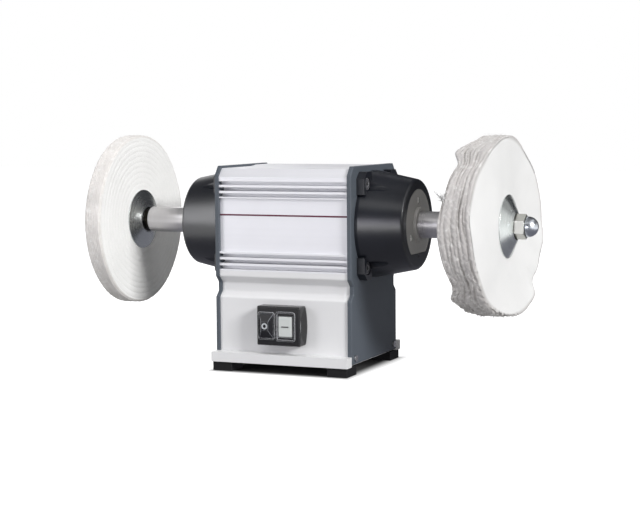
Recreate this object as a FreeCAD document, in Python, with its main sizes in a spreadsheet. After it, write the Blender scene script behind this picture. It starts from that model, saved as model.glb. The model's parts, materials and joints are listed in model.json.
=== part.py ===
import FreeCAD, Part
import Sketcher
import math
import os
import re

# A bench polishing machine: a finned motor housing between two side plates on a white base, a spindle
# that runs out of both ends through cone-shaped bells, a sewn cloth buff on the left and a loose cloth
# buff on the right. X runs along the spindle to the right, Y to the back and Z up. The origin is on the
# bench, under the middle of the housing.

doc = FreeCAD.newDocument("polishing_machine")
sheet = doc.addObject("Spreadsheet::Sheet", "sizes")

# Driving dimensions in millimetres. Names that end in _x are distances from the middle of the housing
# along the spindle. Names that end in _share are parts of the size that they follow.
SIZES = dict(
    # side plates, and the heights of the base and housing from the feet up
    housing_width=164.6,
    plate_thickness=4.7,
    plate_depth=137.4,
    plate_lift=2.1,
    plate_bevel=0.7,
    plate_bore=52.0,
    top_chamfer_height=10.2,
    top_chamfer_depth=8.4,
    foot_height=10.2,
    ledge_height=11.0,
    base_panel_height=60.8,
    waist_lower_height=6.2,
    waist_flat_height=9.8,
    waist_upper_height=7.0,
    waist_depth=6.8,
    waist_round=3.0,
    shell_foot_height=6.6,
    low_band_height=21.4,
    panel_half_height=29.8,
    # finned shells
    shell_drop=2.7,
    shell_rear_rise=1.5,
    shell_inset=1.4,
    shell_panel_inset=4.3,
    shell_wall=3.4,
    shell_split=14.0,
    shell_ramp=15.0,
    shell_band_depth=15.9,
    groove_pitch=6.7,
    groove_width=3.9,
    groove_high_land=1.5,
    groove_low_land=2.5,
    groove_side_depth=7.0,
    groove_mid_depth=12.4,
    groove_bottom_depth=8.6,
    cradle_start=20.0,
    cradle_thickness=7.0,
    boss_radius=8.0,
    boss_length=16.0,
    stripe_rise=11.2,
    stripe_width=1.8,
    stripe_thickness=0.25,
    # base housing, bottom cover and feet
    base_panel_inset=2.0,
    base_wall=4.0,
    ledge_reach=13.1,
    base_rail=15.6,
    rail_front=20.0,
    rail_height=18.0,
    cover_sheet=2.0,
    cover_overlap=4.0,
    cover_gap=0.3,
    foot_width=23.2,
    foot_depth=27.6,
    foot_inset_x=1.2,
    foot_inset_y=2.0,
    bench_hole=3.3,
    bench_hole_depth=9.0,
    foot_screw_inset=6.0,
    foot_screw_radius=2.0,
    foot_screw_head=3.5,
    foot_screw_head_height=2.4,
    foot_screw_recess=6.0,
    foot_screw_length=12.0,
    foot_screw_socket=1.4,
    # end bells and their screws
    bell_root=60.0,
    bell_root_length=3.7,
    bell_length=52.7,
    bell_end_radius=50.0,
    bell_end_round=4.0,
    bell_spigot_length=3.8,
    bell_spigot_wall=4.0,
    bell_web_thickness=14.0,
    bell_cavity_end=42.0,
    bell_hub_radius=30.0,
    ear_half_depth=52.5,
    ear_outer=59.5,
    ear_inner=34.5,
    ear_inner_y=30.0,
    ear_corner_radius=74.0,
    ear_face=9.2,
    ear_bolt_y=41.5,
    ear_bolt_z=46.0,
    ear_pocket=7.5,
    ear_pocket_depth=5.7,
    ear_bolt_radius=4.0,
    ear_bolt_head=6.5,
    ear_bolt_head_height=5.0,
    ear_bolt_length=22.0,
    ear_bolt_socket=3.0,
    # bearing covers
    cover_radius=39.1,
    cover_thickness=4.0,
    cover_flat=31.7,
    cover_slit=0.4,
    cover_boss_radius=19.5,
    cover_boss_height=4.0,
    cover_spigot_radius=23.2,
    cover_spigot_bore=19.9,
    cover_spigot_depth=5.0,
    cover_bore=15.2,
    cover_lip=2.5,
    cover_seal_radius=18.0,
    cover_screw_circle=27.0,
    cover_screw_radius=2.0,
    cover_screw_head=3.6,
    cover_screw_pocket=4.0,
    cover_screw_sunk=2.6,
    cover_screw_head_height=2.0,
    cover_screw_length=9.0,
    cover_screw_socket=1.7,
    drain_hole=1.3,
    drain_drop=35.2,
    drain_depth=7.0,
    # bearings
    bearing_width=14.0,
    bearing_outer=23.5,
    bearing_outer_inside=19.9,
    bearing_inner=10.0,
    bearing_inner_outside=13.6,
    bearing_pitch=16.75,
    ball_radius=3.97,
    ball_count=8,
    race_gap=0.03,
    cage_inner=15.6,
    cage_outer=17.9,
    cage_width=9.6,
    cage_pocket_gap=0.12,
    bearing_lip=4.0,
    bearing_lip_bore=19.0,
    seat_gap=0.02,
    spring_height=1.6,
    seal_gap=0.05,
    # motor
    stator_side_room=5.0,
    stator_top_room=3.6,
    stator_bore=31.0,
    stator_half=30.0,
    stator_gap=0.1,
    slot_count=24,
    slot_size_share=0.17,
    head_length=18.0,
    head_outer_step=5.0,
    head_inner_step=4.0,
    head_round_share=0.31,
    head_gap=0.2,
    rotor_radius=30.6,
    end_ring_outer=29.0,
    end_ring_inner=19.0,
    end_ring_length=8.0,
    # spindle
    shaft_core_radius=12.5,
    spindle_radius=8.0,
    spindle_end_gap=0.5,
    spindle_end_chamfer=1.0,
    bore_gap=0.04,
    sleeve_radius=14.75,
    sleeve_length=74.0,
    sleeve_nose_radius=13.0,
    sleeve_nose_length=2.6,
    sleeve_chamfer=1.0,
    sleeve_ring_start=2.0,
    sleeve_ring_count=3,
    sleeve_ring_pitch=2.4,
    sleeve_ring_width=0.9,
    sleeve_ring_depth=0.35,
    flange_depth=13.5,
    flange_radius=34.5,
    flange_rim=1.1,
    flange_length=10.2,
    flange_neck=14.9,
    flange_back=15.9,
    flange_mouth=14.3,
    flange_mouth_depth=2.2,
    flange_hub_radius=12.6,
    flange_hub_length=5.6,
    nut_across_flats=24.0,
    nut_height=13.0,
    nut_chamfer=0.9,
    cap_neck_radius=8.9,
    cap_neck_length=1.1,
    cap_radius=11.3,
    cap_sink=0.6,
    cap_wall=5.7,
    # buffs
    buff_radius=100.0,
    sewn_hub=20.0,
    loose_hub=24.0,
    sewn_round=2.5,
    buff_bore_gap=0.3,
    loose_round=2.5,
    loose_spread_out=1.7,
    loose_spread_in=8.6,
    loose_lean_out=12.5,
    loose_fold_out=2.5,
    loose_ripple_out=1.7,
    loose_lean_in=10.6,
    loose_fold_in=4.5,
    loose_ripple_in=2.1,
    loose_lobe=0.8,
    loose_middle_share=0.42,
    loose_section_count=40,
    # switch
    switch_left=-25.4,
    switch_width=52.3,
    switch_rise=1.8,
    switch_height=43.6,
    switch_reach=15.3,
    switch_edge=1.6,
    switch_bulge=2.1,
    frame_wall=1.5,
    frame_rise=0.8,
    frame_round=3.2,
    button_gap=0.3,
    button_depth=8.0,
    button_travel=3.0,
    button_stop_gap=0.5,
    button_stem=3.0,
    stop_frame_in=1.0,
    stop_frame_up=6.6,
    stop_frame_width=20.8,
    stop_frame_height=30.3,
    stop_sunk=0.6,
    stop_rise=4.4,
    stop_top_width=8.4,
    stop_top_height=9.6,
    stop_ring_radius=3.4,
    stop_ring_bore=1.9,
    stop_ring_height=0.3,
    stop_ring_sunk=0.2,
    start_frame_in=23.2,
    start_frame_up=5.4,
    start_frame_width=23.1,
    start_frame_height=32.4,
    start_in=2.8,
    start_up=4.5,
    start_width=16.6,
    start_height=22.8,
    start_sunk=0.4,
    start_round=1.4,
    start_bar_length=8.4,
    start_bar_width=1.2,
    start_bar_height=0.4,
    switch_body_width=40.0,
    switch_body_height=30.0,
    switch_body_depth=34.0,
    switch_cutout_gap=0.5,
    switch_screw_inset=3.0,
    switch_screw_radius=1.6,
    switch_screw_head=2.8,
    switch_screw_head_height=1.8,
    switch_screw_length=9.0,
    switch_screw_socket=1.2,
    # plate screws
    plate_screw_inset=9.5,
    plate_screw_lift=8.8,
    plate_screw_radius=2.0,
    plate_screw_head=3.6,
    plate_screw_head_height=2.3,
    plate_screw_length=12.0,
    plate_screw_socket=1.6,
    # electrical pieces inside the base
    capacitor_radius=17.5,
    capacitor_end_room=4.0,
    capacitor_back_room=1.7,
    strap_thickness=1.5,
    strap_width=14.0,
    strap_foot=4.0,
    capacitor_gap=0.1,
    capacitor_rise=4.0,
    terminal_end_room=4.0,
    terminal_side_room=6.0,
    terminal_back_room=22.7,
    terminal_length=42.0,
    terminal_width=18.0,
    terminal_height=17.0,
    terminal_ways=4,
    terminal_hole=2.2,
    terminal_hole_depth=6.0,
    earth_y=20.0,
    earth_radius=2.5,
    earth_head=4.2,
    earth_head_height=3.0,
    earth_length=8.0,
    earth_socket=1.8,
    gland_x=40.0,
    gland_rise=26.8,
    gland_thread=8.0,
    gland_bore=5.5,
    gland_flats=22.0,
    gland_flange=6.0,
    gland_neck=7.0,
    gland_neck_length=8.0,
    gland_nut_length=14.0,
    gland_nut_radius=10.4,
    gland_nut_nose=7.4,
    gland_nut_taper=4.0,
    gland_seal_hole=1.8,
    gland_seal_length=10.0,
    gland_inside=12.0,
    gland_lock_length=5.0,
    thread_gap=0.04,
    # one overrun for every cut that goes right through
    overrun=2.0,
)

for row, (alias, value) in enumerate(SIZES.items(), start=1):
    sheet.set("A%d" % row, alias.replace("_", " "))
    sheet.set("B%d" % row, str(value))
    sheet.setAlias("B%d" % row, alias)
doc.recompute()

# Two places that are this close count as the same one when edges and faces are picked.
NEAR = 0.001

# The heights that stack up from the bench to the spindle.
TO_LEDGE = ("foot_height", "ledge_height")
TO_WAIST = TO_LEDGE + ("base_panel_height",)
TO_WAIST_IN = TO_WAIST + ("waist_lower_height",)
TO_WAIST_OUT = TO_WAIST_IN + ("waist_flat_height",)
TO_WAIST_TOP = TO_WAIST_OUT + ("waist_upper_height",)
TO_SHELL = TO_WAIST_TOP + ("shell_foot_height",)
TO_PANEL = TO_SHELL + ("low_band_height",)
TO_SHAFT = TO_PANEL + ("panel_half_height",)


def added(names):
    """The formula that adds up these sizes."""
    return "(" + " + ".join(names) + ")"


# Formulas that more than one piece uses, written once from the named sizes above. Those that end in X
# are distances from the middle along the spindle, and those that end in Y from the middle to the back.
PLATE_OUT = "(housing_width / 2)"
PLATE_IN = "(housing_width / 2 - plate_thickness)"
HALF_DEPTH = "(plate_depth / 2)"
CREST_Y = "(plate_depth / 2 - shell_inset)"
PANEL_Y = "(plate_depth / 2 - shell_panel_inset)"
BAND_Y = f"({CREST_Y} - shell_band_depth)"
BASE_Y = "(plate_depth / 2 - base_panel_inset)"
LEDGE_Y = "(plate_depth / 2 + ledge_reach)"
WELL_X = f"({PLATE_IN} - base_rail)"
WELL_Y = f"({HALF_DEPTH} - rail_front)"
LEDGE_TOP = added(TO_LEDGE)
WAIST_BOTTOM = added(TO_WAIST)
WAIST_IN_BOTTOM = added(TO_WAIST_IN)
WAIST_IN_TOP = added(TO_WAIST_OUT)
WAIST_TOP = added(TO_WAIST_TOP)
SHELL_BOTTOM = added(TO_SHELL)
PANEL_BOTTOM = added(TO_PANEL)
SHAFT_Z = added(TO_SHAFT)
PANEL_TOP = f"({SHAFT_Z} + panel_half_height)"
STATOR_RADIUS = f"({PANEL_Y} - shell_wall - stator_side_room)"
SHELL_TOP = f"({SHAFT_Z} + {STATOR_RADIUS} + stator_top_room + shell_wall)"
PLATE_TOP = f"({SHELL_TOP} + shell_drop)"
PLATE_BOTTOM = "(foot_height + plate_lift)"
BELL_END_X = f"({PLATE_OUT} + bell_length)"
COVER_IN_X = f"({BELL_END_X} - cover_thickness)"
COVER_OUT_X = f"({BELL_END_X} + cover_boss_height)"
BEARING_OUT_X = f"({COVER_IN_X} - cover_spigot_depth)"
BEARING_X = f"({BEARING_OUT_X} - bearing_width)"
SLEEVE_END_X = f"({BEARING_OUT_X} + sleeve_length)"
FLANGE_FACE = f"({SLEEVE_END_X} + flange_depth)"
SWITCH_FACE = f"({BASE_Y} + switch_reach)"
SWITCH_BOTTOM = f"({LEDGE_TOP} + (base_panel_height - switch_height) / 2 + switch_rise)"
PLATE_SCREW_Y = f"({HALF_DEPTH} - plate_screw_inset)"
PLATE_SCREW_Z = "(foot_height + plate_screw_lift)"
COVER_TOP = "(foot_height + cover_sheet)"
GLAND_Z = f"({LEDGE_TOP} + gland_rise)"
nodes = []


def linked(formula):
    """The same formula with each name pointed at its cell of the sheet."""
    return re.sub(r"[a-z][a-z0-9_]*", lambda word: cell_name(word.group(0)), str(formula))


def cell_name(word):
    return "sizes." + word if word in SIZES else word


def follow(piece, **formulas):
    """Ties properties of a piece to the sheet."""
    for name, formula in formulas.items():
        piece.setExpression(name, linked(formula))
    return piece


def move(piece, place):
    """Ties the position of a piece to the sheet."""
    for letter, formula in zip("xyz", place):
        piece.setExpression("Placement.Base." + letter, linked(formula))
    return piece


def keep(piece, name):
    """Marks a finished sub-part, whose label names its file."""
    piece.Label = name
    nodes.append(piece)
    return piece


def block(name, corner, lengths):
    piece = doc.addObject("Part::Box", name)
    follow(piece, Length=lengths[0], Width=lengths[1], Height=lengths[2])
    return move(piece, corner)


TURNS = dict(
    x=FreeCAD.Rotation(FreeCAD.Vector(0, 1, 0), 90),
    y=FreeCAD.Rotation(FreeCAD.Vector(1, 0, 0), -90),
    z=FreeCAD.Rotation(),
)
HALF_TURN = FreeCAD.Rotation(FreeCAD.Vector(0, 0, 1), 180)
# The four corners of a rectangle, as signs of its two directions.
CORNERS = ((-1, 1), (1, 1), (-1, -1), (1, -1))


def rod(name, start, axis, radius, length):
    """A cylinder that starts at a point and runs along plus X, Y or Z."""
    piece = doc.addObject("Part::Cylinder", name)
    piece.Placement = FreeCAD.Placement(FreeCAD.Vector(), TURNS[axis])
    follow(piece, Radius=radius, Height=length)
    return move(piece, start)


def hexagon(name, start, axis, across_flats, length):
    piece = doc.addObject("Part::Prism", name)
    piece.Polygon = 6
    piece.Placement = FreeCAD.Placement(FreeCAD.Vector(), TURNS[axis])
    follow(piece, Circumradius=f"({across_flats}) / sqrt(3)", Height=length)
    return move(piece, start)


def ball(name, centre, radius):
    piece = doc.addObject("Part::Sphere", name)
    follow(piece, Radius=radius)
    return move(piece, centre)


def join(name, *pieces):
    piece = doc.addObject("Part::MultiFuse", name)
    piece.Shapes = list(pieces)
    return piece


def group(name, *pieces):
    """Separate solids that are kept together as one sub-part."""
    piece = doc.addObject("Part::Compound", name)
    piece.Links = list(pieces)
    return piece


def minus(name, base, *tools):
    piece = doc.addObject("Part::Cut", name)
    piece.Base = base
    piece.Tool = tools[0] if len(tools) == 1 else join(name + "_tools", *tools)
    return piece


def common(name, first, second):
    piece = doc.addObject("Part::Common", name)
    piece.Base = first
    piece.Tool = second
    return piece


def sketch_outline(body, plane_role, outline):
    """A closed outline of straight lines whose corners follow the sheet."""
    sketch = body.newObject("Sketcher::SketchObject", body.Name + "_sketch")
    plane = [item for item in body.Origin.OriginFeatures if item.Role == plane_role][0]
    sketch.AttachmentSupport = [(plane, "")]
    sketch.MapMode = "FlatFace"
    count = len(outline)
    angles = [2 * math.pi * index / count for index in range(count)]
    corners = [FreeCAD.Vector(math.cos(angle), math.sin(angle), 0) for angle in angles]
    for index in range(count):
        sketch.addGeometry(Part.LineSegment(corners[index], corners[(index + 1) % count]))
    for index in range(count):
        sketch.addConstraint(Sketcher.Constraint("Coincident", index, 2, (index + 1) % count, 1))
    for index, formulas in enumerate(outline):
        for kind, start, formula in zip(("DistanceX", "DistanceY"), tuple(corners[index]), formulas):
            number = sketch.addConstraint(Sketcher.Constraint(kind, -1, 1, index, 1, start))
            sketch.setExpression("Constraints[%d]" % number, linked(formula))
    return sketch


def turned(name, outline):
    """A body turned about X from an outline of (along X, radius) corners."""
    body = doc.addObject("PartDesign::Body", name)
    sketch = sketch_outline(body, "XZ_Plane", outline)
    turn = body.newObject("PartDesign::Revolution", name + "_turned")
    turn.Profile = sketch
    turn.ReferenceAxis = (sketch, ["H_Axis"])
    turn.Angle = 360
    return body


def slab(name, outline, start, length):
    """A body pushed out along plus X from an outline of (Y, Z) corners."""
    body = doc.addObject("PartDesign::Body", name)
    pad = body.newObject("PartDesign::Pad", name + "_pad")
    pad.Profile = sketch_outline(body, "YZ_Plane", outline)
    follow(pad, Length=length)
    body.setExpression("Placement.Base.x", linked(start))
    return body


def rounded(body, pick, radius):
    """Rounds the edges of a body's tip that the test picks out."""
    doc.recompute()
    tip = body.Tip
    edges = tip.Shape.Edges
    names = ["Edge%d" % (number + 1) for number, edge in enumerate(edges) if pick(edge)]
    fillet = body.newObject("PartDesign::Fillet", body.Name + "_round")
    fillet.Base = (tip, names)
    follow(fillet, Radius=radius)
    return body


def end_circle(body, wider_than):
    """A test that picks the circles of a turned body at its right end that are wider than a size."""
    doc.recompute()
    end = max(corner.X for corner in body.Shape.Vertexes)
    return lambda edge: (abs(edge.BoundBox.XMin - end) < NEAR and edge.BoundBox.XLength < NEAR
                         and edge.BoundBox.ZLength > wider_than)


def on_shaft(piece, turned_round=False):
    """Lifts a piece that is drawn about the X axis to the spindle, turned round for the left end."""
    if turned_round:
        piece.Placement = FreeCAD.Placement(FreeCAD.Vector(), HALF_TURN)
    piece.setExpression("Placement.Base.z", linked(SHAFT_Z))
    return piece


def value(name):
    return SIZES[name]


def total(names):
    """The same sum as a number."""
    return sum(value(name) for name in names)


def sides():
    """The two ends of the machine: the name, and whether the piece is turned round."""
    return (("right", False), ("left", True))


def plate_edge(sign):
    """Front edge of the plates from the bottom up, on the side of minus or plus Y."""
    return [
        (f"{sign} * {HALF_DEPTH}", PLATE_BOTTOM),
        (f"{sign} * {HALF_DEPTH}", WAIST_BOTTOM),
        (f"{sign} * ({HALF_DEPTH} - waist_depth)", WAIST_IN_BOTTOM),
        (f"{sign} * ({HALF_DEPTH} - waist_depth)", WAIST_IN_TOP),
        (f"{sign} * {HALF_DEPTH}", WAIST_TOP),
        (f"{sign} * {HALF_DEPTH}", f"{PLATE_TOP} - top_chamfer_height"),
        (f"{sign} * ({HALF_DEPTH} - top_chamfer_depth)", PLATE_TOP),
    ]


def at_waist(edge):
    """True for the edges along X at the corners of the waist."""
    low = edge.BoundBox
    level = min(abs(low.ZMin - total(names)) for names in (TO_WAIST, TO_WAIST_IN, TO_WAIST_OUT, TO_WAIST_TOP))
    return level < NEAR and low.ZLength < NEAR and low.YLength < NEAR


def groove_rows():
    """Top level and depth of each groove, upper band then lower band."""
    depths = ("groove_side_depth", "groove_mid_depth", "groove_bottom_depth")
    high = f"{PANEL_TOP} + groove_high_land + groove_width"
    low = f"{PANEL_BOTTOM} - groove_low_land"
    last = len(depths) - 1
    rows = [(f"{high} + {last - number} * groove_pitch", depth) for number, depth in enumerate(depths)]
    rows += [(f"{low} - {number} * groove_pitch", depth) for number, depth in enumerate(depths[::-1])]
    return rows


def shell_outline(sign, top_level, top_points):
    """Wall of one motor shell: chamfer, fin bands, flat panel between them, and back up inside."""
    corners = [
        (f"({CREST_Y} - top_chamfer_depth)", top_level),
        (CREST_Y, f"{SHELL_TOP} - top_chamfer_height + shell_inset / 2"),
        (CREST_Y, PANEL_TOP),
        (PANEL_Y, PANEL_TOP),
        (PANEL_Y, PANEL_BOTTOM),
        (CREST_Y, PANEL_BOTTOM),
        (CREST_Y, SHELL_BOTTOM),
        (BAND_Y, SHELL_BOTTOM),
        (BAND_Y, PANEL_BOTTOM),
        (f"({PANEL_Y} - shell_wall)", PANEL_BOTTOM),
        (f"({PANEL_Y} - shell_wall)", PANEL_TOP),
        (BAND_Y, PANEL_TOP),
        (BAND_Y, f"{SHELL_TOP} - top_chamfer_height"),
        (f"({BAND_Y} - shell_wall)", f"{SHELL_TOP} - shell_wall"),
    ]
    return [(f"{sign} * {across}", up) for across, up in corners] + top_points


def shell(name, sign, top_level, top_points):
    """Finned half of the motor housing: wall, grooves, stator cradle and screw bosses."""
    width = f"2 * {PLATE_IN}"
    left = f"-1 * {PLATE_IN}"
    blank = slab(name + "_wall", shell_outline(sign, top_level, top_points), left, width)
    grooves = []
    for number, (level, depth) in enumerate(groove_rows()):
        start_y = f"-1 * {CREST_Y} - overrun" if sign < 0 else f"{CREST_Y} - {depth}"
        corner = (f"{left} - overrun", start_y, f"{level} - groove_width")
        lengths = (f"{width} + 2 * overrun", f"{depth} + overrun", "groove_width")
        grooves.append(block(f"{name}_groove_{number}", corner, lengths))
    finned = minus(name + "_finned", blank, *grooves)
    rib_y = f"-1 * ({PANEL_Y} - shell_wall / 2)" if sign < 0 else "shell_split"
    rib_lengths = ("cradle_thickness", f"{PANEL_Y} - shell_wall / 2 - shell_split", "2 * panel_half_height")
    ribs = [block(f"{name}_rib_{number}", (start, rib_y, PANEL_BOTTOM), rib_lengths)
            for number, start in enumerate(("-1 * cradle_start - cradle_thickness", "cradle_start"))]
    bore = rod(name + "_cradle_bore", (f"{left} - overrun", "0", SHAFT_Z), "x",
               f"{STATOR_RADIUS} + stator_gap", f"{width} + 2 * overrun")
    cradle = minus(name + "_cradle", join(name + "_ribs", *ribs), bore)
    bosses = []
    holes = []
    for end, start in enumerate((left, f"{PLATE_IN} - boss_length")):
        for level, z_sign in enumerate((-1, 1)):
            label = f"{name}_{end}{level}"
            place = (start, f"{sign} * ear_bolt_y", f"{SHAFT_Z} + {z_sign} * ear_bolt_z")
            bosses.append(rod(label + "_boss", place, "x", "boss_radius", "boss_length"))
            bosses.append(boss_web(label, start, sign, z_sign))
            hole_start = (f"{start} - overrun",) + place[1:]
            holes.append(rod(label + "_hole", hole_start, "x", "ear_bolt_radius + thread_gap",
                             "boss_length + 2 * overrun"))
    solid = join(name + "_solid", finned, cradle, *bosses)
    return keep(minus(name, solid, *holes), name)


def boss_web(label, start, sign, z_sign):
    """The web that carries a screw boss on the wall beside it."""
    inner = "(ear_bolt_y - boss_radius / 2)"
    outer = f"({BAND_Y} + shell_wall / 2)"
    reach = f"{outer} - {inner}"
    y = f"-1 * {outer}" if sign < 0 else inner
    z = f"{SHAFT_Z} + {z_sign} * ear_bolt_z - boss_radius / 2"
    return block(label + "_web", (start, y, z), ("boss_length", reach, "boss_radius"))


def front_shell():
    """Its flat top ends at the split behind the middle, where the rear shell starts."""
    top = [
        ("shell_split", f"{SHELL_TOP} - shell_wall"),
        ("shell_split", SHELL_TOP),
    ]
    return shell("front_shell", -1, SHELL_TOP, top)


def rear_shell():
    """Its top ramps up a little behind the split, as seen along the joint on the left edge."""
    top = [
        ("shell_split", f"{SHELL_TOP} - shell_wall"),
        ("shell_split", SHELL_TOP),
        ("shell_split + shell_ramp", f"{SHELL_TOP} + shell_rear_rise"),
    ]
    return shell("rear_shell", 1, f"{SHELL_TOP} + shell_rear_rise", top)


def panel_stripe():
    """Thin stripe across the flat front panel."""
    corner = (f"-1 * {PLATE_IN}", f"-1 * {PANEL_Y} - stripe_thickness",
              f"{SHAFT_Z} + stripe_rise - stripe_width / 2")
    lengths = (f"2 * {PLATE_IN}", "stripe_thickness", "stripe_width")
    return keep(block("stripe", corner, lengths), "panel_stripe")


def side_plate(name, sign):
    """Flat side plate with the waisted outline, a bore for the bell and holes for its screws."""
    outline = plate_edge(-1) + plate_edge(1)[::-1]
    start = PLATE_IN if sign > 0 else f"-1 * {PLATE_OUT}"
    body = rounded(slab(name + "_blank", outline, start, "plate_thickness"), at_waist, "waist_round")
    doc.recompute()
    tip = body.Tip
    outer = value("housing_width") / 2 * sign
    face = [number + 1 for number, item in enumerate(body.Shape.Faces)
            if item.BoundBox.XLength < NEAR and abs(item.BoundBox.XMin - outer) < NEAR][0]
    bevel = body.newObject("PartDesign::Chamfer", name + "_bevel")
    bevel.Base = (tip, ["Face%d" % face])
    follow(bevel, Size="plate_bevel")
    from_x = f"{start} - overrun"
    through = "plate_thickness + 2 * overrun"
    tools = [rod(name + "_bore", (from_x, "0", SHAFT_Z), "x", "plate_bore", through)]
    for number, (y_sign, z_sign) in enumerate(CORNERS):
        place = (from_x, f"{y_sign} * ear_bolt_y", f"{SHAFT_Z} + {z_sign} * ear_bolt_z")
        tools.append(rod(f"{name}_bolt_{number}", place, "x", "ear_bolt_radius + thread_gap", through))
    for number, y_sign in enumerate((-1, 1)):
        place = (from_x, f"{y_sign} * {PLATE_SCREW_Y}", PLATE_SCREW_Z)
        tools.append(rod(f"{name}_screw_{number}", place, "x", "plate_screw_radius + thread_gap", through))
    return keep(minus(name, body, *tools), name)


def screw(name, seat, axis, sign, radius, length, head, head_height, socket):
    """A plain screw: its head stands on the seat and points along the signed axis."""
    place = dict(zip("xyz", seat))
    base = place[axis]
    shank_place = dict(place)
    shank_place[axis] = f"{base} - {length}" if sign > 0 else base
    head_place = dict(place)
    head_place[axis] = base if sign > 0 else f"{base} - {head_height}"
    socket_place = dict(place)
    socket_place[axis] = f"{base} + {head_height} / 3" if sign > 0 else f"{base} - {head_height} - overrun"
    shank = rod(name + "_shank", tuple(shank_place.values()), axis, radius, length)
    cap = rod(name + "_head", tuple(head_place.values()), axis, head, head_height)
    key = hexagon(name + "_key", tuple(socket_place.values()), axis, f"2 * {socket}",
                  f"2 * {head_height} / 3 + overrun")
    return minus(name, join(name + "_solid", shank, cap), key)


def base_side(sign):
    """Front or rear wall of the base with its waist, from the ledge up to the shell and back."""
    corners = [
        (BASE_Y, "foot_height + ledge_height / 2"),
        (BASE_Y, WAIST_BOTTOM),
        (f"({BASE_Y} - waist_depth)", WAIST_IN_BOTTOM),
        (f"({BASE_Y} - waist_depth)", WAIST_IN_TOP),
        (CREST_Y, WAIST_TOP),
        (CREST_Y, SHELL_BOTTOM),
        (f"({BASE_Y} - waist_depth - base_wall)", SHELL_BOTTOM),
        (f"({BASE_Y} - waist_depth - base_wall)", f"{WAIST_IN_BOTTOM} - base_wall / 2"),
        (f"({BASE_Y} - base_wall)", f"{WAIST_BOTTOM} - base_wall / 2"),
        (f"({BASE_Y} - base_wall)", "foot_height + ledge_height / 2"),
    ]
    return [(f"{sign} * {across}", up) for across, up in corners]


def foot_corner(x_sign, y_sign):
    """Outer corner of one foot."""
    return (f"{x_sign} * ({PLATE_OUT} - foot_inset_x)", f"{y_sign} * ({LEDGE_Y} - foot_inset_y)")


def foot_middle(x_sign, y_sign):
    x, y = foot_corner(x_sign, y_sign)
    return (f"({x} - {x_sign} * foot_width / 2)", f"({y} - {y_sign} * foot_depth / 2)")


def foot_screw_place(x_sign, y_sign):
    x, y = foot_corner(x_sign, y_sign)
    return (f"({x} - {x_sign} * foot_screw_inset)", f"({y} - {y_sign} * foot_screw_inset)")


def switch_cutout():
    """Opening in the front wall for the switch body."""
    x, z = switch_middle()
    corner = (f"{x} - switch_body_width / 2 - switch_cutout_gap", f"-1 * {BASE_Y} - overrun",
              f"{z} - switch_body_height / 2 - switch_cutout_gap")
    lengths = ("switch_body_width + 2 * switch_cutout_gap", "base_wall + 2 * overrun",
               "switch_body_height + 2 * switch_cutout_gap")
    return block("base_switch_cutout", corner, lengths)


def switch_middle():
    return "(switch_left + switch_width / 2)", f"({SWITCH_BOTTOM} + switch_height / 2)"


def switch_screw_places():
    x = switch_middle()[0]
    return ((x, f"{SWITCH_BOTTOM} + switch_screw_inset"),
            (x, f"{SWITCH_BOTTOM} + switch_height - switch_screw_inset"))


def boss_notches():
    """Where the lower screw bosses of the shells reach down: the side, and the left end of the notch."""
    left = f"-1 * {PLATE_IN} - overrun"
    right = f"{PLATE_IN} - boss_length"
    return ((-1, left), (1, left), (-1, right), (1, right))


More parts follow.
